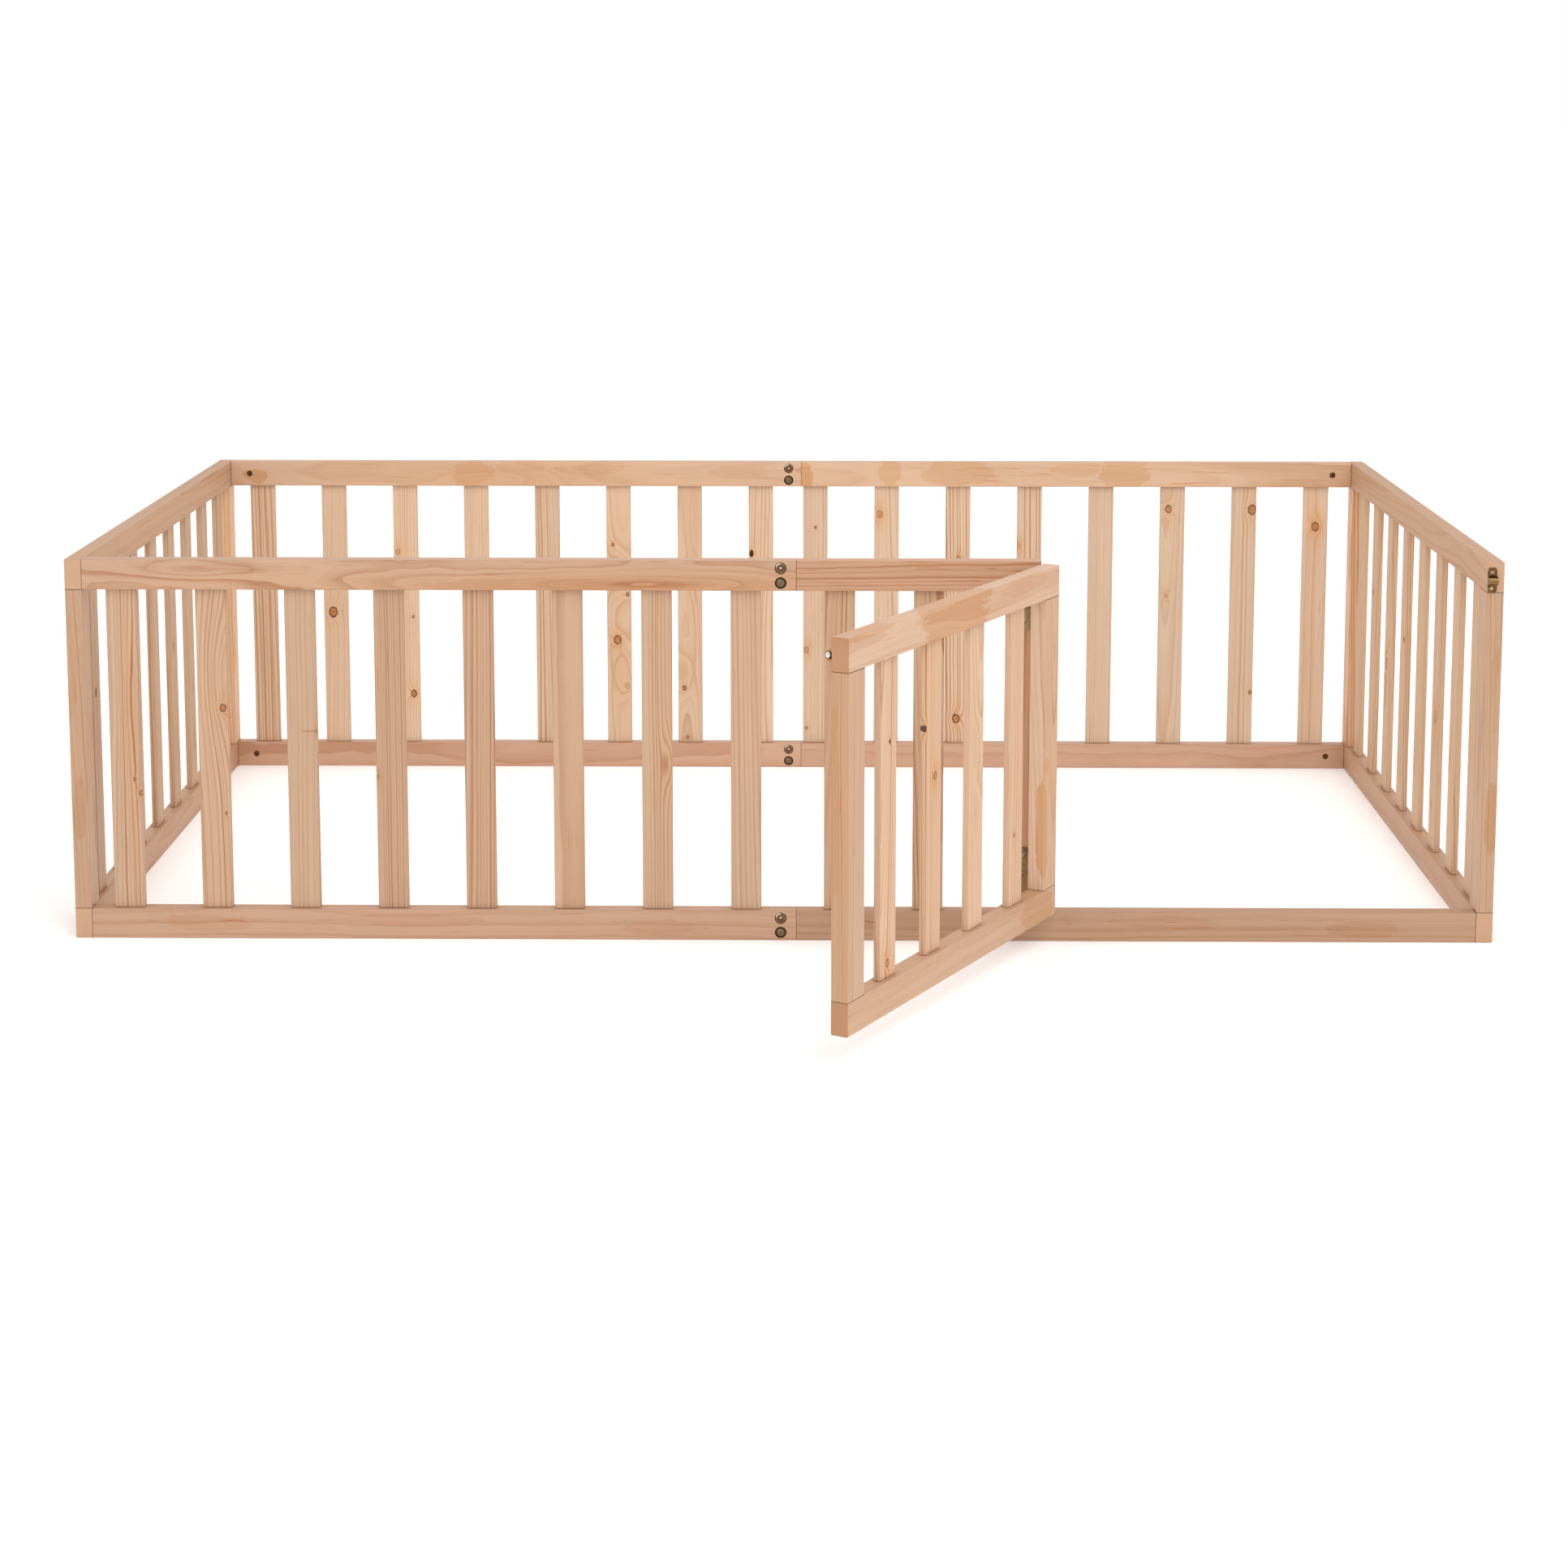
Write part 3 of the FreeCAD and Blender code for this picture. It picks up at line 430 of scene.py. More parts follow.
def knot_fields(g, place, knots):
    """What the pine group needs to know of every knot on a board."""
    fields = {"Bend": 0.0, "Core": 0.0, "Rings": NO_KNOT, "Halo": 0.0}
    for across, along, radius, dark, stain, *slim in knots:
        out = g.use(KNOT, Place=place, Centre=(across * MM, 0.0, along * MM), Radius=radius * MM,
                    Slim=slim[0] if slim else USUAL_SLIM, Dark=dark, Stain=stain, **fields)
        fields = {key: out[key] for key in fields}
    return fields


def patch_field(g, place, patches):
    """How strongly each point of a board is stained or painted with shade."""
    field = 0.0
    for across, along, half_across, half_along, amount, *depth in patches:
        through, half_through = depth or ALL_THROUGH
        centre = (across * MM, through * MM, along * MM)
        half = (half_across * MM, half_through * MM, half_along * MM)
        field = g.use(PATCH, Place=place, Centre=centre, Half=half, Amount=amount, Patch=field)["Patch"]
    return field


def ring_colour(tone, shares, painted_light_level):
    """The colour of early or late wood, from a board's mean tone, scaled by its light level, which may
    hold painted light or shade.
    """
    colour = srgb(*(level * share for level, share in zip(tone, shares)))
    return [channel * painted_light_level for channel in colour[:3]] + [1.0]


def pine(name, layout, centre, seed, look, painted_light_level, knots=(), patches=(), seam=FAR, end=FAR, arris=FAR,
         gate=False, pitch=None, flecks=0.5):
    """A pine material for one board, or for a row of slats when pitch is given.
    layout names the axes across, through and along the grain. centre is the board's middle. A piece
    of the gate has both as they are when the gate is shut.
    look has the tone and the ring pattern; for a row all its values but the tone are lists.
    Knots are (across, along, radius, darkness, stain) and may end with slimness. Patches are (across,
    along, half across, half along, amount) and may end with (through, half through). Places and sizes
    in both are in millimetres. The light level scales the tone: 0.80 suits the studio's light, and
    higher or lower levels paint in light or shade that falls on some boards."""
    material, g, shader = new_material(name)
    place = g.add("ShaderNodeTexCoord").outputs["Object"]
    if gate:
        place = shut_gate(g, place)
    parts = g.split(g.vmath("SUBTRACT", place, tuple(centre)))
    across, through, along = (parts[AXES[letter]] for letter in layout)
    place = g.join(across, through, along)
    tone, spacing, pith_across, pith_through, lean, tilt, wave, contrast, shade = look
    grain_place, grain_seed = place, float(seed)
    if pitch:
        index, own_across = find_slat(g, across, pitch)
        grain_place = g.join(own_across, through, along)
        grain_seed = g.math("MULTIPLY_ADD", index, ROW_SEED_STEP, float(seed))
        lengths = (spacing, pith_across, pith_through, wave)
        spacing, pith_across, pith_through, wave = (
            pick(g, index, [length * MM for length in row]) for row in lengths)
        lean, tilt, contrast, shade = (pick(g, index, row) for row in (lean, tilt, contrast, shade))
        pith = g.join(pith_across, pith_through, lean)
    else:
        spacing, wave = spacing * MM, wave * MM
        pith = (pith_across * MM, pith_through * MM, lean)
    out = g.use(PINE, Place=grain_place, Seed=grain_seed, Pith=pith, Tilt=tilt, Spacing=spacing, Wave=wave,
                Contrast=contrast, Shade=shade, Seam=seam, End=end, Arris=arris, Flecks=flecks,
                EndShade=1.0 if gate else 0.0, Patch=patch_field(g, place, patches),
                Early=ring_colour(tone, EARLY, painted_light_level), Late=ring_colour(tone, LATE, painted_light_level),
                **knot_fields(g, place, knots))
    make_surface(g, shader, out["Color"], out["Roughness"], out["Height"], strength=0.5, depth=0.15 * MM)
    shader.inputs["Specular IOR Level"].default_value = 0.2
    shader.inputs["Coat Weight"].default_value = 0.08
    shader.inputs["Coat Roughness"].default_value = 0.35
    return material


def metal(name, bright, dull, roughness, scale, tarnish, scratches=0.4, pattern=None):
    """A worn metal: bright where it is rubbed, dull and rougher in patches, with fine scratches.
    scale is that of the patches. pattern(g, place, colour) may add marks that follow the part's own
    shape, such as painted light and shade."""
    material, g, shader = new_material(name)
    place = g.add("ShaderNodeTexCoord").outputs["Object"]
    cloud = g.noise(place, scale, 4.0, 0.6)
    grit = g.noise(place, scale * 9, 3.0, 0.6)
    lines = g.noise(g.vmath("MULTIPLY", place, (900.0, 900.0, 9000.0)), 1.0, 2.0, 0.6)
    dull_from = 0.42 + 0.2 * (1 - tarnish)
    share = g.step(g.math("MULTIPLY_ADD", grit, 0.15, cloud), dull_from, 0.76)
    colour = g.mix(share, srgb(*bright), srgb(*dull))
    if pattern:
        colour = pattern(g, place, colour)
    speck = g.math("MULTIPLY", g.step(grit, 0.62, 0.74), 0.18 * tarnish)
    colour = g.mix(speck, colour, srgb(*(channel * 0.5 for channel in dull)))
    rough = g.math("MULTIPLY_ADD", share, 0.22, roughness)
    rough = g.math("MULTIPLY_ADD", grit, 0.12, rough)
    height = g.math("MULTIPLY_ADD", grit, 0.6, lines)
    make_surface(g, shader, colour, rough, height, strength=scratches, depth=0.05 * MM)
    shader.inputs["Metallic"].default_value = 1.0
    return material


def from_lap_bolt(g, place):
    """Sideways and upward distances from the axis of the nearest of the lap bolts."""
    low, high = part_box("lap_bolts")
    top_rail = middle("back_left_top_rail").z
    bottom_rail = middle("back_left_bottom_rail").z
    x, _, z = g.split(place)
    x = g.math("SUBTRACT", x, (low.x + high.x) / 2)
    is_top = g.math("GREATER_THAN", z, (top_rail + bottom_rail) / 2)
    z = g.math("SUBTRACT", z, g.math("MULTIPLY_ADD", is_top, top_rail - bottom_rail, bottom_rail))
    rise = high.z - HEAD_FLANGE - top_rail
    return x, g.math("SUBTRACT", z, g.math("MULTIPLY", g.math("SIGN", z), rise))


def painted_light_rings(stops):
    """A pattern for the lap bolts' heads and nuts: colours by the distance from their own axis, as
    (share of the flange's radius, colour, how much of it gets a painted highlight as a crescent).
    The colours are the bronze's tone with painted light and shade in rings."""
    def pattern(g, place, colour):
        x, z = from_lap_bolt(g, place)
        away = g.vmath("LENGTH", g.join(x, 0.0, z))
        # A painted highlight: a bright crescent on the upper left of the rings that take it
        upper_left = g.math("MULTIPLY_ADD", x, -0.6, g.math("MULTIPLY", z, 0.8))
        highlight_crescent = g.step(g.math("DIVIDE", upper_left, away), 0.70, 0.97)
        share = g.math("DIVIDE", away, HEAD_FLANGE)
        tones = g.ramp(share, [(position, srgb(*tone)) for position, tone, _ in stops])
        highlight_share = g.ramp(share, [(position, (level, level, level, 1.0)) for position, _, level in stops])
        rings = g.mix(0.85, colour, tones)
        return g.mix(g.math("MULTIPLY", highlight_share, highlight_crescent), rings, srgb(255, 246, 232))
    return pattern


def ribbed_arch(g, place, colour):
    """The keeper's arch: fine ribs along the way the rod slides, with painted light on their tops and
    painted shade between them, and painted shade where the arch meets the plate.
    """
    _, _, z = g.split(place)
    away = g.math("SUBTRACT", z, middle("keeper").z)
    height = g.math("ABSOLUTE", away)
    arch = g.step(height, ARCH_HALF, ARCH_HALF - 0.8 * MM)
    rib = g.step(g.math("SINE", g.math("MULTIPLY", away, 2 * math.pi / RIB_PITCH)), -0.5, 0.6)
    lit_and_shaded_ribs = g.mix(rib, srgb(78, 54, 32), srgb(182, 142, 90))
    colour = g.mix(arch, colour, lit_and_shaded_ribs)
    # Painted shade along the arch's feet, where it meets the plate
    to_foot = g.math("ABSOLUTE", g.math("SUBTRACT", height, ARCH_HALF))
    foot_shade = g.step(to_foot, 1.1 * MM, 0.3 * MM)
    return g.mix(g.math("MULTIPLY", foot_shade, 0.85), colour, srgb(52, 36, 24))


def middle(name):
    """The middle of a node's box."""
    low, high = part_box(name)
    return (low + high) / 2


def paint(name, material):
    """Puts one material on a CAD node."""
    data = nodes[name].data
    data.materials.clear()
    data.materials.append(material)


def from_floor(centre, knots):
    """Knots whose second value is a height above the floor, with it taken from the board's middle."""
    return [(across, height - centre.z / MM, *rest) for across, height, *rest in knots]


# Timber. A look is (tone, ring spacing, pith across, pith through, lean, tilt, wave, contrast, shade),
# with the spacing, the pith's place and the wave in millimetres. Lean and tilt are the pith's slopes
# across and through the board. Each slat here has a look and its knots, at heights above the floor.

FRONT_SLATS = {
    "front_left_slat_8": (
        ((208, 171, 141), 4.4, -34, 24, 0.0, 0.01, 10, 1.1, 1.0),
        [(12, 225, 2.2, 0.9, 0.5), (20, 205, 3.2, 0.9, 0.6), (8, 330, 5, 0.0, 0.5, 14.0)]),
    "front_left_slat_7": (
        ((209, 170, 137), 4.8, -26, 20, 0.0, 0.0, 7, 0.85, 1.0),
        [(14, 326, 4.6, 0.85, 0.4), (15, 177, 2.0, 0.9, 0.3), (9, 372, 15, 0.0, 0.0, 4.2)]),
    "front_left_slat_6": (
        ((204, 168, 136), 3.6, 44, 60, 0.0, 0.0, 6, 0.35, 1.0), [(19, 294, 2.2, 0.5, 0.6)]),
    "front_left_slat_5": (((201, 161, 129), 2.7, 62, 60, 0.004, 0.0, 3, 0.7, 1.0),
                          [(-19, 229, 3.0, 0.35, 0.7)]),
    "front_left_slat_4": (((202, 162, 130), 3.4, -40, 44, 0.0, 0.01, 4, 0.9, 1.0), []),
    "front_left_slat_3": (((208, 169, 136), 7.0, 8, 66, 0.0, 0.0, 9, 0.4, 1.0), []),
    "front_left_slat_2": (
        ((210, 173, 141), 2.9, 52, 48, 0.0, 0.0, 4, 0.6, 1.0), [(17, 250, 6, 0.0, 0.3, 4.0)]),
    "front_left_slat_1": (((213, 176, 145), 4.0, 34, 30, 0.0, 0.01, 6, 0.55, 1.0), []),
    "front_right_slat_1": (((207, 167, 133), 3.8, -30, 40, 0.0, 0.02, 5, 0.8, 1.0), []),
    "front_right_slat_2": (((207, 167, 134), 4.6, 24, 36, 0.0, 0.03, 6, 0.8, 1.0), []),
}
# Patches on those slats
SLAT_PATCHES = {"front_left_slat_6": [(10, 26, 11, 1.6, 0.9)]}

GATE_SLATS = {
    "gate_slat_1": (((213, 175, 143), 3.8, 30, 34, 0.0, 0.02, 6, 0.8, 1.0), [(5, 183, 2.4, 0.9, 0.4)]),
    "gate_slat_2": (((213, 177, 145), 5.0, -12, 40, 0.0, 0.03, 8, 0.5, 1.0),
                    [(2, 330, 7, 0.0, 0.2, 2.5), (-4, 240, 7, 0.0, 0.2, 2.5)]),
    "gate_slat_3": (((212, 173, 139), 3.4, -36, 34, 0.0, 0.015, 5, 0.7, 1.0),
                    [(24, 380, 3.6, 1.0, 0.6, 1.8), (-4, 315, 4.6, 0.7, 1.0)]),
    "gate_slat_4": (((212, 175, 143), 4.2, 22, 30, 0.0, 0.03, 7, 0.8, 1.0),
                    [(-3, 384, 2.4, 1.0, 0.4), (1, 105, 4.4, 0.85, 1.0)]),
}

# Rows of slats that share a node, as (layout, seed, look, knots, light level). All the look's values but
# the tone have one entry for each slat. A knot is (slat, across, height, radius, darkness, stain),
# with the slats counted from 1, and may end with its slimness. A light level above 0.80 brightens
# a row with painted light.
SLAT_ROWS = {
    "back_left_slats": ("XYZ", 2.0, (
        (210, 177, 146),
        (5.0, 3.6, 3.0, 3.2, 3.6, 4.6, 6.0, 4.5),
        (30, -46, 50, 60, -34, 8, -8, 30),
        (20, 60, 50, 45, 30, 30, 20, 30),
        (0.0, 0.0, 0.0, 0.0, 0.04, 0.0, 0.01, -0.04),
        (0.01, 0.02, 0.0, 0.0, 0.02, 0.03, -0.03, 0.02),
        (6, 6, 4, 3, 5, 9, 7, 6),
        (1.7, 0.35, 0.4, 0.35, 0.9, 0.3, 0.35, 0.6),
        (1.01, 1.02, 1.08, 1.03, 0.95, 1.0, 0.97, 1.04)), [
        (2, -5, 271, 7.6, 0.9, 0.4), (3, -14, 377, 4.5, 0.5, 0.6), (3, 11, 263, 2.4, 0.9, 0.3),
        (3, 10, 127, 5.4, 0.9, 0.5), (6, -10, 390, 2.6, 0.9, 0.9), (6, 15, 303, 3.4, 0.9, 0.4),
        (6, -3, 223, 6.6, 0.85, 0.8), (6, 14, 142, 5.0, 0.3, 0.5), (6, 2, 340, 12, 0.0, 0.3, 2.4),
        (6, 6, 168, 9, 0.0, 0.4, 3.4), (7, 6, 420, 9, 0.0, 0.3, 6.0), (7, -10, 165, 10, 0.0, 0.2, 2.8),
        (7, -10, 138, 3.8, 0.9, 0.4), (7, -5, 51, 2.4, 0.9, 0.4), (8, -16, 375, 3.6, 1.0, 0.6, 1.8)],
        0.92),
    "back_right_slats": ("XYZ", 61.0, (
        (209, 177, 148),
        (4.0, 4.5, 3.4, 3.8, 2.8, 5.0, 4.5, 5.0),
        (-40, 30, -40, 46, 60, -10, -30, 20),
        (50, 40, 34, 36, 50, 30, 40, 40),
        (0.0, 0.0, 0.01, 0.0, 0.0, 0.0, 0.02, 0.0),
        (0.0, 0.01, 0.0, 0.0, 0.0, 0.02, 0.01, 0.0),
        (5, 5, 4, 4, 3, 7, 6, 6),
        (0.45, 0.45, 1.1, 1.0, 0.4, 0.35, 0.45, 0.4),
        (0.97, 1.01, 1.02, 0.97, 0.95, 0.95, 0.97, 1.05)), [
        (1, 0, 421, 2.4, 0.9, 0.4), (1, -15, 206, 4.6, 0.5, 0.7), (1, -15, 68, 2.4, 0.9, 0.4),
        (2, -12, 444, 5.4, 0.5, 1.0), (3, -1, 85, 6.6, 0.9, 0.6), (3, 2, 369, 3.2, 0.7, 0.8),
        (4, -18, 389, 4.0, 0.2, 1.0), (6, -7, 454, 5.6, 0.85, 0.5), (6, -9, 303, 3.4, 0.3, 0.5),
        (7, 14, 453, 7.4, 0.85, 0.6), (7, 17, 133, 3.0, 0.9, 0.5), (8, 0, 424, 6.6, 0.8, 1.0)],
        0.92),
    "left_side_slats": ("YXZ", 111.0, (
        (205, 167, 132),
        (3.4, 4.0, 5.0, 3.0, 4.0, 3.4, 5.0, 3.6),
        (30, -8, 50, 60, -30, 4, -8, 30),
        (30, 50, 50, 45, 30, 35, 30, 30),
        (0.0, 0.0, 0.01, 0.0, 0.02, 0.0, 0.01, -0.02),
        (0.01, 0.02, 0.0, 0.0, 0.02, 0.03, -0.03, 0.02),
        (6, 6, 4, 3, 5, 7, 7, 6),
        (0.9, 0.6, 0.5, 0.8, 0.9, 0.6, 0.8, 0.9),
        (1.0,) * 7 + (1.01,)), [
        (7, 5, 330, 4.0, 0.9, 0.6), (5, -6, 300, 4.6, 0.9, 0.8), (7, 8, 150, 4.2, 0.9, 0.7),
        (3, 2, 330, 5.6, 0.9, 0.8, 1.6), (1, -4, 330, 4.6, 1.0, 0.6, 1.6)], 0.80),
    "right_side_slats": ("YXZ", 163.0, (
        (210, 172, 136),
        (4.4, 3.0, 5.0, 4.0, 3.2, 5.4, 4.0, 3.6),
        (-30, 18, -50, 40, -30, 4, -48, 30),
        (30, 50, 50, 45, 30, 35, 30, 30),
        (0.0, 0.02, 0.0, 0.0, -0.02, 0.0, 0.01, -0.02),
        (0.01, 0.02, 0.0, 0.0, 0.02, 0.03, -0.03, 0.02),
        (6, 6, 4, 3, 5, 7, 7, 6),
        (0.7, 0.6, 0.9, 0.5, 0.8, 0.6, 0.7, 0.6),
        (1.0,) * 7 + (1.01,)), [
        (7, 6, 345, 4.0, 1.0, 0.6), (5, -8, 315, 6.0, 1.0, 0.5, 0.7), (6, 2, 250, 7.0, 0.9, 0.9, 1.5),
        (3, -4, 245, 6.5, 0.9, 0.9, 1.5), (3, 6, 110, 4.0, 0.9, 0.7)], 0.86),
}


def slat_row(node, layout, seed, look, knots, painted_light_level):
    """One material for a row of slats, with each knot placed on its own slat."""
    low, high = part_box(node)
    centre = (low + high) / 2
    axis = AXES[layout[0]]
    pitch = (high[axis] - low[axis] - SLAT_WIDTH) / (GROUP_SLATS - 1)
    placed = []
    for slat, across, *rest in knots:
        placed.append(((slat - (GROUP_SLATS + 1) / 2) * pitch / MM + across, *rest))
    paint(node, pine(node, layout, centre, seed, look, painted_light_level, from_floor(centre, placed), seam=SEAM,
                     arris=SLAT_WIDTH / 2, pitch=pitch))


def gate_middle(name):
    """A gate piece's middle when the gate is shut."""
    point = middle(name) - HINGE_PLACE
    cos, sin = math.cos(OPEN_ANGLE), math.sin(OPEN_ANGLE)
    return Vector((point.x * cos - point.y * sin, point.x * sin + point.y * cos, point.z)) + HINGE_PLACE


def single_slats(table, first_seed, gate, painted_light_level):
    for index, (node, (look, knots)) in enumerate(table.items()):
        centre = gate_middle(node) if gate else middle(node)
        seed = first_seed + index * SLAT_SEED_STEP
        paint(node, pine(node, "XYZ", centre, seed, look, painted_light_level, from_floor(centre, knots),
                         SLAT_PATCHES.get(node, ()), seam=GATE_SEAM if gate else SEAM,
                         arris=SLAT_WIDTH / 2, gate=gate))


def timber(node, layout, seed, tone, spacing, pith_across, pith_through, tilt=0.0, wave=12.0, contrast=0.6,
           seam=False, gate=False, knots=(), patches=(), painted_light_level=0.80, flecks=0.6):
    """One board. With seam it ends in joint lines against other boards, and otherwise in end grain.
    The gate is open in the frame, so the boxes of its boards don't hold their sizes along X: a gate
    rail's length is the design's, and a gate stile's long edges aren't marked."""
    low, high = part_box(node)
    size = high - low
    centre = gate_middle(node) if gate else (low + high) / 2
    length = GATE_RAIL_LENGTH if gate and layout[2] == "X" else size[AXES[layout[2]]]
    arris = FAR if gate and layout[0] == "X" else size[AXES[layout[0]]] / 2
    look = (tone, spacing, pith_across, pith_through, 0.0, tilt, wave, contrast, 1.0)
    paint(node, pine(node, layout, centre, seed, look, painted_light_level, knots, patches,
                     seam=length / 2 if seam else FAR, end=FAR if seam else length / 2,
                     arris=arris, gate=gate, flecks=flecks))


def paint_timber():
    # Light levels above 0.80 here are painted light, mostly on the back panel and the gate; those below
    # it, on the side rails, are painted shade.
    single_slats(FRONT_SLATS, first_seed=3.0, gate=False, painted_light_level=0.80)
    single_slats(GATE_SLATS, first_seed=41.0, gate=True, painted_light_level=0.92)
    for node, (layout, seed, look, knots, painted_light_level) in SLAT_ROWS.items():
        slat_row(node, layout, seed, look, knots, painted_light_level)

    timber("front_left_top_rail", "ZYX", 5.0, (206, 169, 141), 5.2, -14, 46, wave=22.0, contrast=0.75,
           seam=True,
           knots=[(-12, 130, 15, 0, 0.5, 16.0), (-14, 330, 13, 0, 0.7, 11.0), (6, -340, 8, 0, 0.3, 9.0)],
           patches=[(-14, 150, 9, 170, 0.3), (10, -260, 8, 90, 0.25)])
    timber("front_left_bottom_rail", "ZYX", 12.0, (205, 163, 133), 5.0, 30, 60, contrast=0.25, seam=True,
           flecks=0.8,
           patches=[(0, -330, 14, 60, 0.35), (6, -40, 10, 90, 0.3), (-4, 300, 12, 60, 0.35)])
    timber("front_right_top_rail", "ZYX", 15.0, (207, 160, 127), 3.6, 40, 50, wave=10.0, seam=True,
           flecks=2.0)
    timber("threshold_rail", "ZYX", 18.0, (193, 152, 122), 5.0, 30, 60, wave=9.0, contrast=0.45,
           seam=True, flecks=1.5, patches=[(-4, 330, 12, 50, 0.4), (6, 60, 9, 70, 0.3)])
    timber("back_left_top_rail", "ZYX", 22.0, (211, 173, 141), 8.0, 4, 38, tilt=0.03, wave=20.0,
           contrast=0.4, seam=True, painted_light_level=0.86, knots=[(-6, -20, 12, 0, 0.4, 6.0)],
           patches=[(-5, -446, 12, 20, 0.9), (2, -75, 22, 34, 0.45), (14, 10, 12, 40, 0.3),
                    (8, 130, 9, 60, 0.3)])
    timber("back_right_top_rail", "ZYX", 27.0, (213, 175, 142), 8.0, -4, 36, tilt=-0.03, wave=20.0,
           contrast=0.4, seam=True, painted_light_level=0.86,
           patches=[(-8, -447, 30, 17, 1.0), (4, -300, 24, 20, 0.6), (2, -180, 26, 60, 0.5),
                    (0, 105, 26, 40, 0.55), (10, 20, 12, 40, 0.4)])
    timber("back_left_bottom_rail", "ZYX", 31.0, (205, 161, 132), 7.0, 14, 64, wave=18.0, contrast=0.35,
           seam=True, painted_light_level=0.86)
    timber("back_right_bottom_rail", "ZYX", 33.0, (203, 160, 132), 7.0, -12, 64, wave=18.0, contrast=0.35,
           seam=True, painted_light_level=0.86)
    for side, seed in (("left", 36.0), ("right", 71.0)):
        timber(side + "_top_rail", "ZXY", seed, (208, 162, 124), 5.0, 26, 54, tilt=0.01, wave=16.0,
               contrast=0.4, painted_light_level=0.74)
        timber(side + "_bottom_rail", "ZXY", seed + 3, (203, 158, 124), 7.0, 12, 60, wave=18.0,
               contrast=0.35, painted_light_level=0.79)
    timber("left_front_stile", "YXZ", 42.0, (206, 166, 133), 5.0, 12, 34, tilt=0.03, contrast=0.45,
           seam=True, patches=[(0, -82, 90, 44, 0.5, 1, 9), (0, 120, 90, 80, 0.3, -7, 7)])
    timber("left_back_stile", "YXZ", 45.0, (222, 176, 133), 4.0, -10, 30, tilt=0.02, wave=9.0,
           contrast=1.0, seam=True, painted_light_level=0.92)
    timber("right_front_stile", "YXZ", 77.0, (206, 167, 134), 5.0, -6, 30, tilt=0.02, wave=10.0,
           contrast=0.45, seam=True, patches=[(0, -95, 90, 56, 0.75, 6, 9), (0, 110, 90, 80, 0.3, 5, 6)])
    timber("right_back_stile", "YXZ", 80.0, (217, 168, 126), 4.0, -10, 30, tilt=0.02, wave=9.0,
           contrast=1.0, seam=True, painted_light_level=0.94)
    timber("hinge_post", "XYZ", 44.0, (212, 168, 131), 5.0, 20, 34, wave=9.0, contrast=0.7, seam=True,
           painted_light_level=0.92)
    # The last patch of each gate rail lies on one of its end faces: painted shade on that end grain.
    timber("gate_top_rail", "ZYX", 51.0, (221, 181, 150), 7.0, 8, 40, wave=16.0, contrast=0.35, gate=True,
           patches=[(2, 8, 60, 94, 0.8), (12, -190, 14, 70, 0.3), (19, 250, 6, 60, 0.6),
                    (0, 301, 90, 1.6, 0.4)])
    timber("gate_bottom_rail", "ZYX", 54.0, (212, 170, 137), 7.0, 12, 60, wave=16.0, contrast=0.4,
           gate=True, patches=[(0, -240, 30, 50, 0.5), (0, 301, 90, 1.6, 0.4)])
    timber("gate_hinge_stile", "XYZ", 57.0, (213, 178, 148), 5.0, -8, 26, tilt=0.05, contrast=0.5,
           seam=True, gate=True, painted_light_level=0.87,
           patches=[(0, 0, 90, 2000, 0.45, 11.5, 2), (22, -116, 15, 66, 1.0, 11, 11),
                    (12, -30, 8, 12, 0.8, 12, 6)])
    # The latch stile's patches lie on its free side face and are painted shade there.
    timber("gate_latch_stile", "XYZ", 59.0, (208, 167, 135), 4.0, 34, 40, wave=8.0, contrast=0.4,
           seam=True, gate=True,
           patches=[(STILE_HALF / MM, 0, 1.6, 900, 0.45), (STILE_HALF / MM, 40, 1.6, 120, 0.7, -7, 7)])
    timber("frame_dowels", "XYZ", 81.0, (214, 180, 146), 1.8, 20, 30, wave=1.0)
    timber("gate_dowels", "XYZ", 83.0, (214, 180, 146), 1.8, 20, 30, wave=1.0, gate=True)


# Rings of the bronze's tone with painted light and shade, from the axis out. A head has a painted
# highlight in its middle, painted shade in its grooves, a painted highlight on its rim and a painted
# shadow round the flange where it sits in its hole. A nut's rings are darker in its middle and round its
# edge and lighter between, with a little painted highlight.
HEAD_TONE_AND_LIGHT = [
    (0.0, (244, 226, 204), 0.0), (0.16, (226, 204, 178), 0.0), (0.25, (84, 62, 44), 0.0),
    (0.40, (72, 52, 36), 0.0), (0.50, (130, 102, 76), 0.0), (0.62, (96, 72, 52), 0.0),
    (0.70, (56, 40, 28), 0.0), (0.78, (154, 124, 94), 1.0), (0.87, (138, 108, 80), 1.0),
    (0.92, (54, 38, 28), 0.0), (1.0, (34, 24, 18), 0.0)]
NUT_TONE_AND_LIGHT = [
    (0.0, (80, 52, 38), 0.0), (0.12, (104, 80, 58), 0.0), (0.24, (164, 144, 116), 0.1),
    (0.36, (120, 100, 76), 0.0), (0.50, (112, 92, 70), 0.0), (0.60, (146, 124, 96), 0.3),
    (0.68, (88, 70, 52), 0.0), (0.76, (46, 32, 24), 0.0), (1.0, (36, 26, 20), 0.0)]


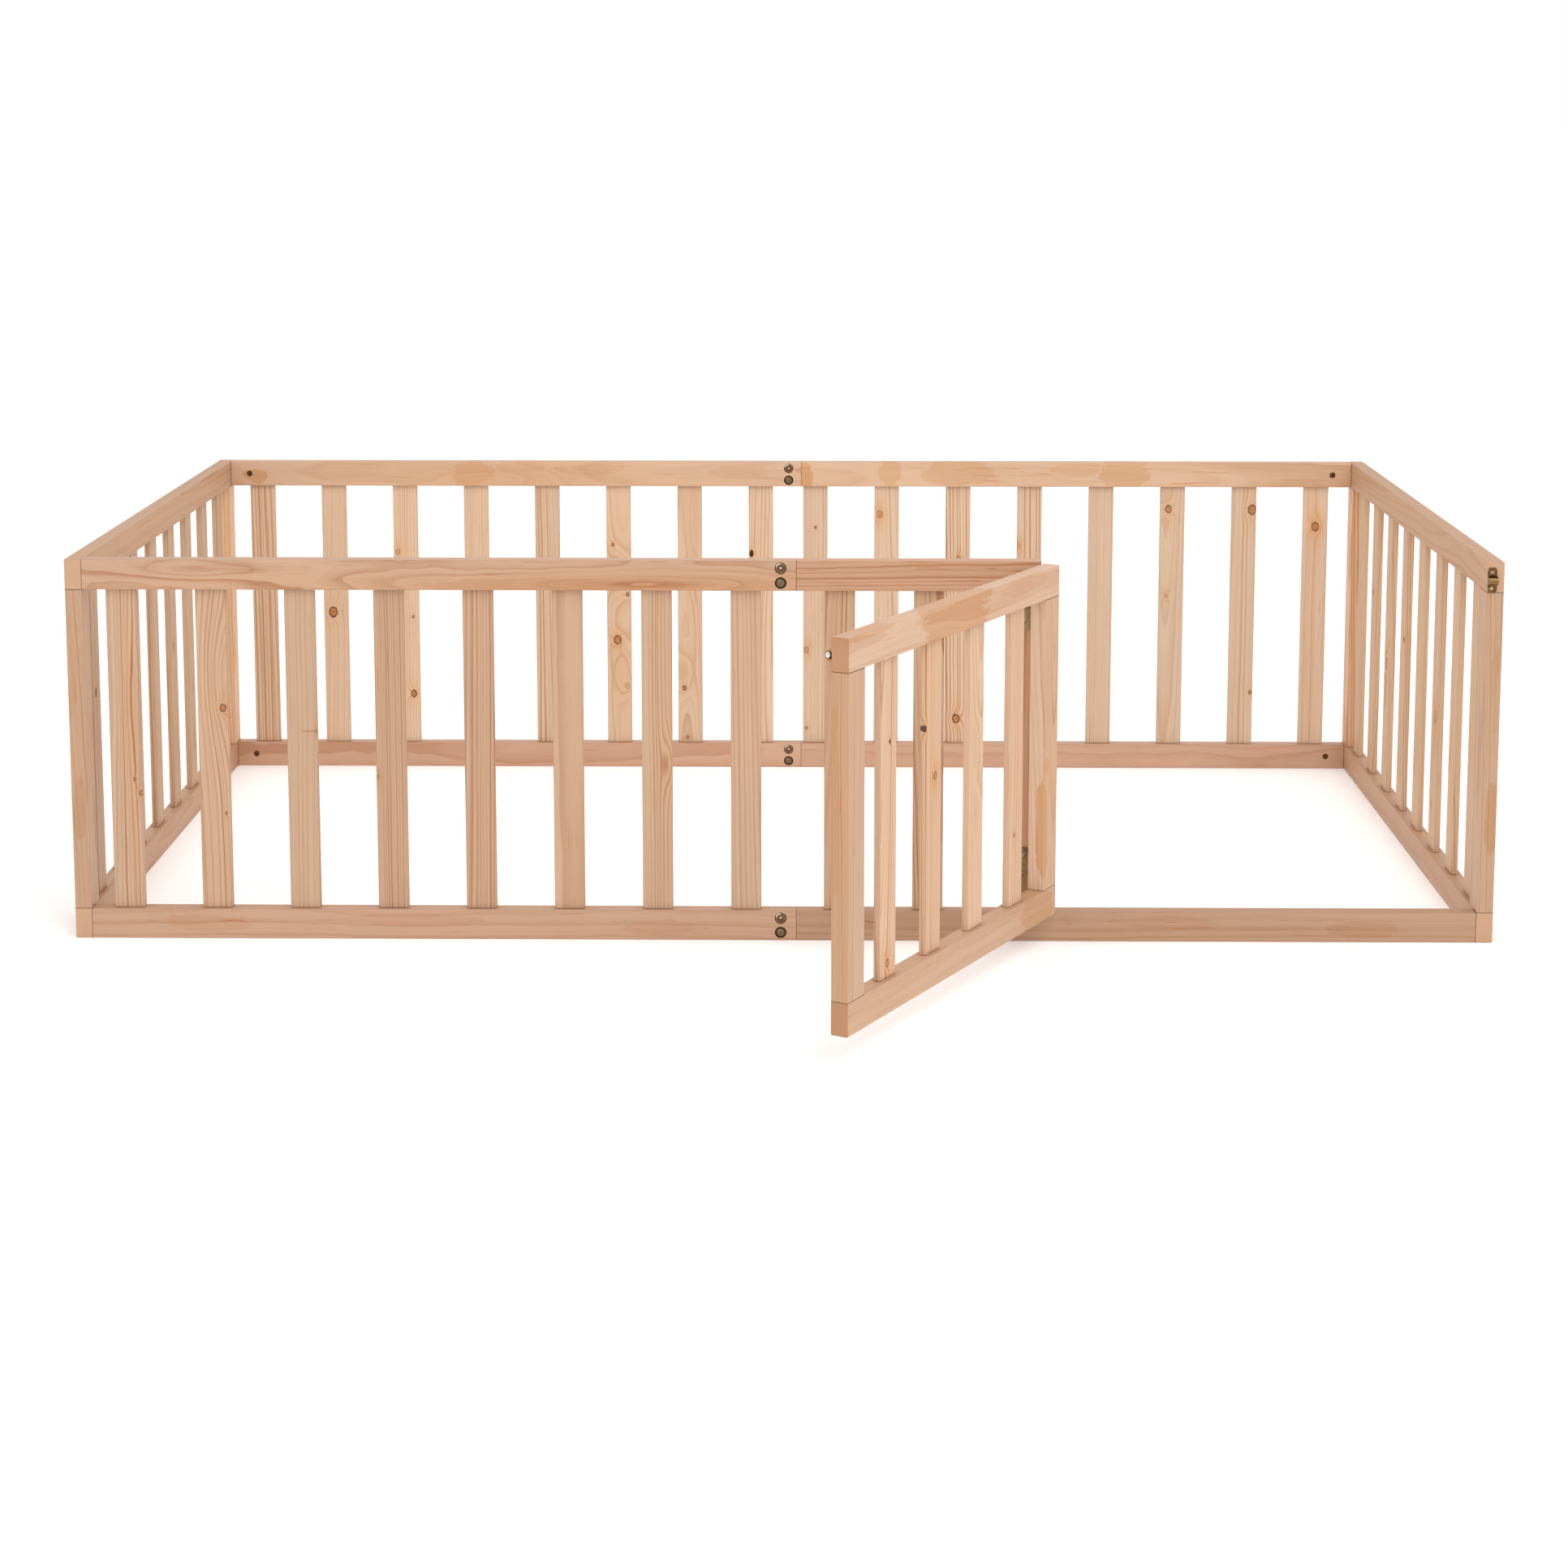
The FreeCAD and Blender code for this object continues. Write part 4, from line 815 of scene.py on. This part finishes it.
def paint_metal():
    brass = metal("hinge_brass", (182, 156, 122), (138, 116, 90), 0.34, 60.0, tarnish=0.6, scratches=0.1)
    latch = metal("latch_brass", (170, 138, 96), (104, 80, 54), 0.30, 110.0, tarnish=0.7, scratches=0.2)
    keeper = metal("keeper_brass", (138, 102, 68), (76, 52, 32), 0.32, 300.0, tarnish=0.9,
                   pattern=ribbed_arch)
    steel = metal("rod_steel", (206, 206, 204), (150, 148, 144), 0.20, 90.0, tarnish=0.4, scratches=0.2)
    zinc = metal("screw_steel", (190, 174, 146), (126, 108, 84), 0.28, 260.0, tarnish=0.5, scratches=0.2)
    bronze = metal("bolt_bronze", (176, 142, 108), (104, 76, 54), 0.26, 380.0, tarnish=0.6,
                   pattern=painted_light_rings(HEAD_TONE_AND_LIGHT))
    cap = metal("nut_bronze", (150, 126, 98), (84, 62, 44), 0.34, 380.0, tarnish=0.7,
                pattern=painted_light_rings(NUT_TONE_AND_LIGHT))
    corner = metal("corner_bronze", (166, 136, 104), (98, 74, 52), 0.30, 380.0, tarnish=0.6)
    dark = metal("barrel_bronze", (128, 94, 64), (66, 46, 32), 0.42, 380.0, tarnish=0.9)
    finishes = {
        brass: ["upper_hinge_post_leaf", "upper_hinge_gate_leaf", "upper_hinge_pin",
                "lower_hinge_post_leaf", "lower_hinge_gate_leaf", "lower_hinge_pin"],
        latch: ["latch_plate", "latch_knob"],
        keeper: ["keeper"],
        steel: ["latch_rod"],
        zinc: ["post_hinge_screws", "gate_hinge_screws", "latch_screws", "keeper_screws"],
        bronze: ["lap_bolts"],
        cap: ["lap_nuts"],
        corner: ["corner_bolts"],
        dark: ["barrel_nuts"],
    }
    for material, names in finishes.items():
        for name in names:
            paint(name, material)


# The room

def make_floor():
    """A wide white floor, just under the pen."""
    half = 60.0
    gap = 0.2 * MM
    corners = [(-half, -half, 0), (half, -half, 0), (half, half, 0), (-half, half, 0)]
    mesh = bpy.data.meshes.new("floor")
    mesh.from_pydata(corners, [], [(0, 1, 2, 3)])
    floor = bpy.data.objects.new("floor", mesh)
    floor.location.z = cad_box[0].z - gap
    bpy.context.scene.collection.objects.link(floor)
    material, _, shader = new_material("floor")
    shader.inputs["Base Color"].default_value = srgb(255, 255, 255)
    shader.inputs["Roughness"].default_value = 0.9
    shader.inputs["Specular IOR Level"].default_value = 0.1
    shader.inputs["Emission Color"].default_value = (1.0, 1.0, 1.0, 1.0)
    shader.inputs["Emission Strength"].default_value = 0.06
    mesh.materials.append(material)


def area_light(name, place, aim, size, power, colour=(1.0, 1.0, 1.0)):
    data = bpy.data.lights.new(name, "AREA")
    data.shape = "DISK"
    data.size = size
    data.energy = power
    data.color = colour
    lamp = bpy.data.objects.new(name, data)
    lamp.location = place
    lamp.rotation_mode = "QUATERNION"
    lamp.rotation_quaternion = (Vector(aim) - Vector(place)).to_track_quat("-Z", "Y")
    lamp.visible_camera = False
    bpy.context.scene.collection.objects.link(lamp)


def make_lights():
    world = bpy.data.worlds.new("studio")
    world.use_nodes = True
    background = world.node_tree.nodes["Background"]
    background.inputs["Color"].default_value = (1.0, 1.0, 1.0, 1.0)
    background.inputs["Strength"].default_value = 1.0
    bpy.context.scene.world = world
    pen_middle = (0.0, 0.0, 0.2)
    back_slats = (0.0, 0.52, 0.25)
    area_light("key", (1.6, -3.4, 4.2), pen_middle, size=3.0, power=70.0, colour=(1.0, 0.985, 0.965))
    area_light("fill", (-3.6, -2.4, 2.6), pen_middle, size=3.0, power=15.0)
    area_light("back_panel", (0.0, -0.35, 1.7), back_slats, size=1.6, power=4.0)


def make_camera():
    """In front of the gate side and above it, looking slightly down."""
    look_down = 0.13491
    turn_left = 0.01237
    data = bpy.data.cameras.new("camera")
    data.sensor_width = 36.0
    data.lens = 66.47
    data.shift_y = -0.1998
    camera = bpy.data.objects.new("camera", data)
    camera.location = (0.0509, -4.4261, 1.1890)
    camera.rotation_euler = (math.pi / 2 - look_down, 0.0, turn_left)
    bpy.context.scene.collection.objects.link(camera)
    bpy.context.scene.camera = camera


bpy.context.scene.view_settings.view_transform = "Standard"
make_camera()
make_lights()
make_floor()
paint_timber()
paint_metal()
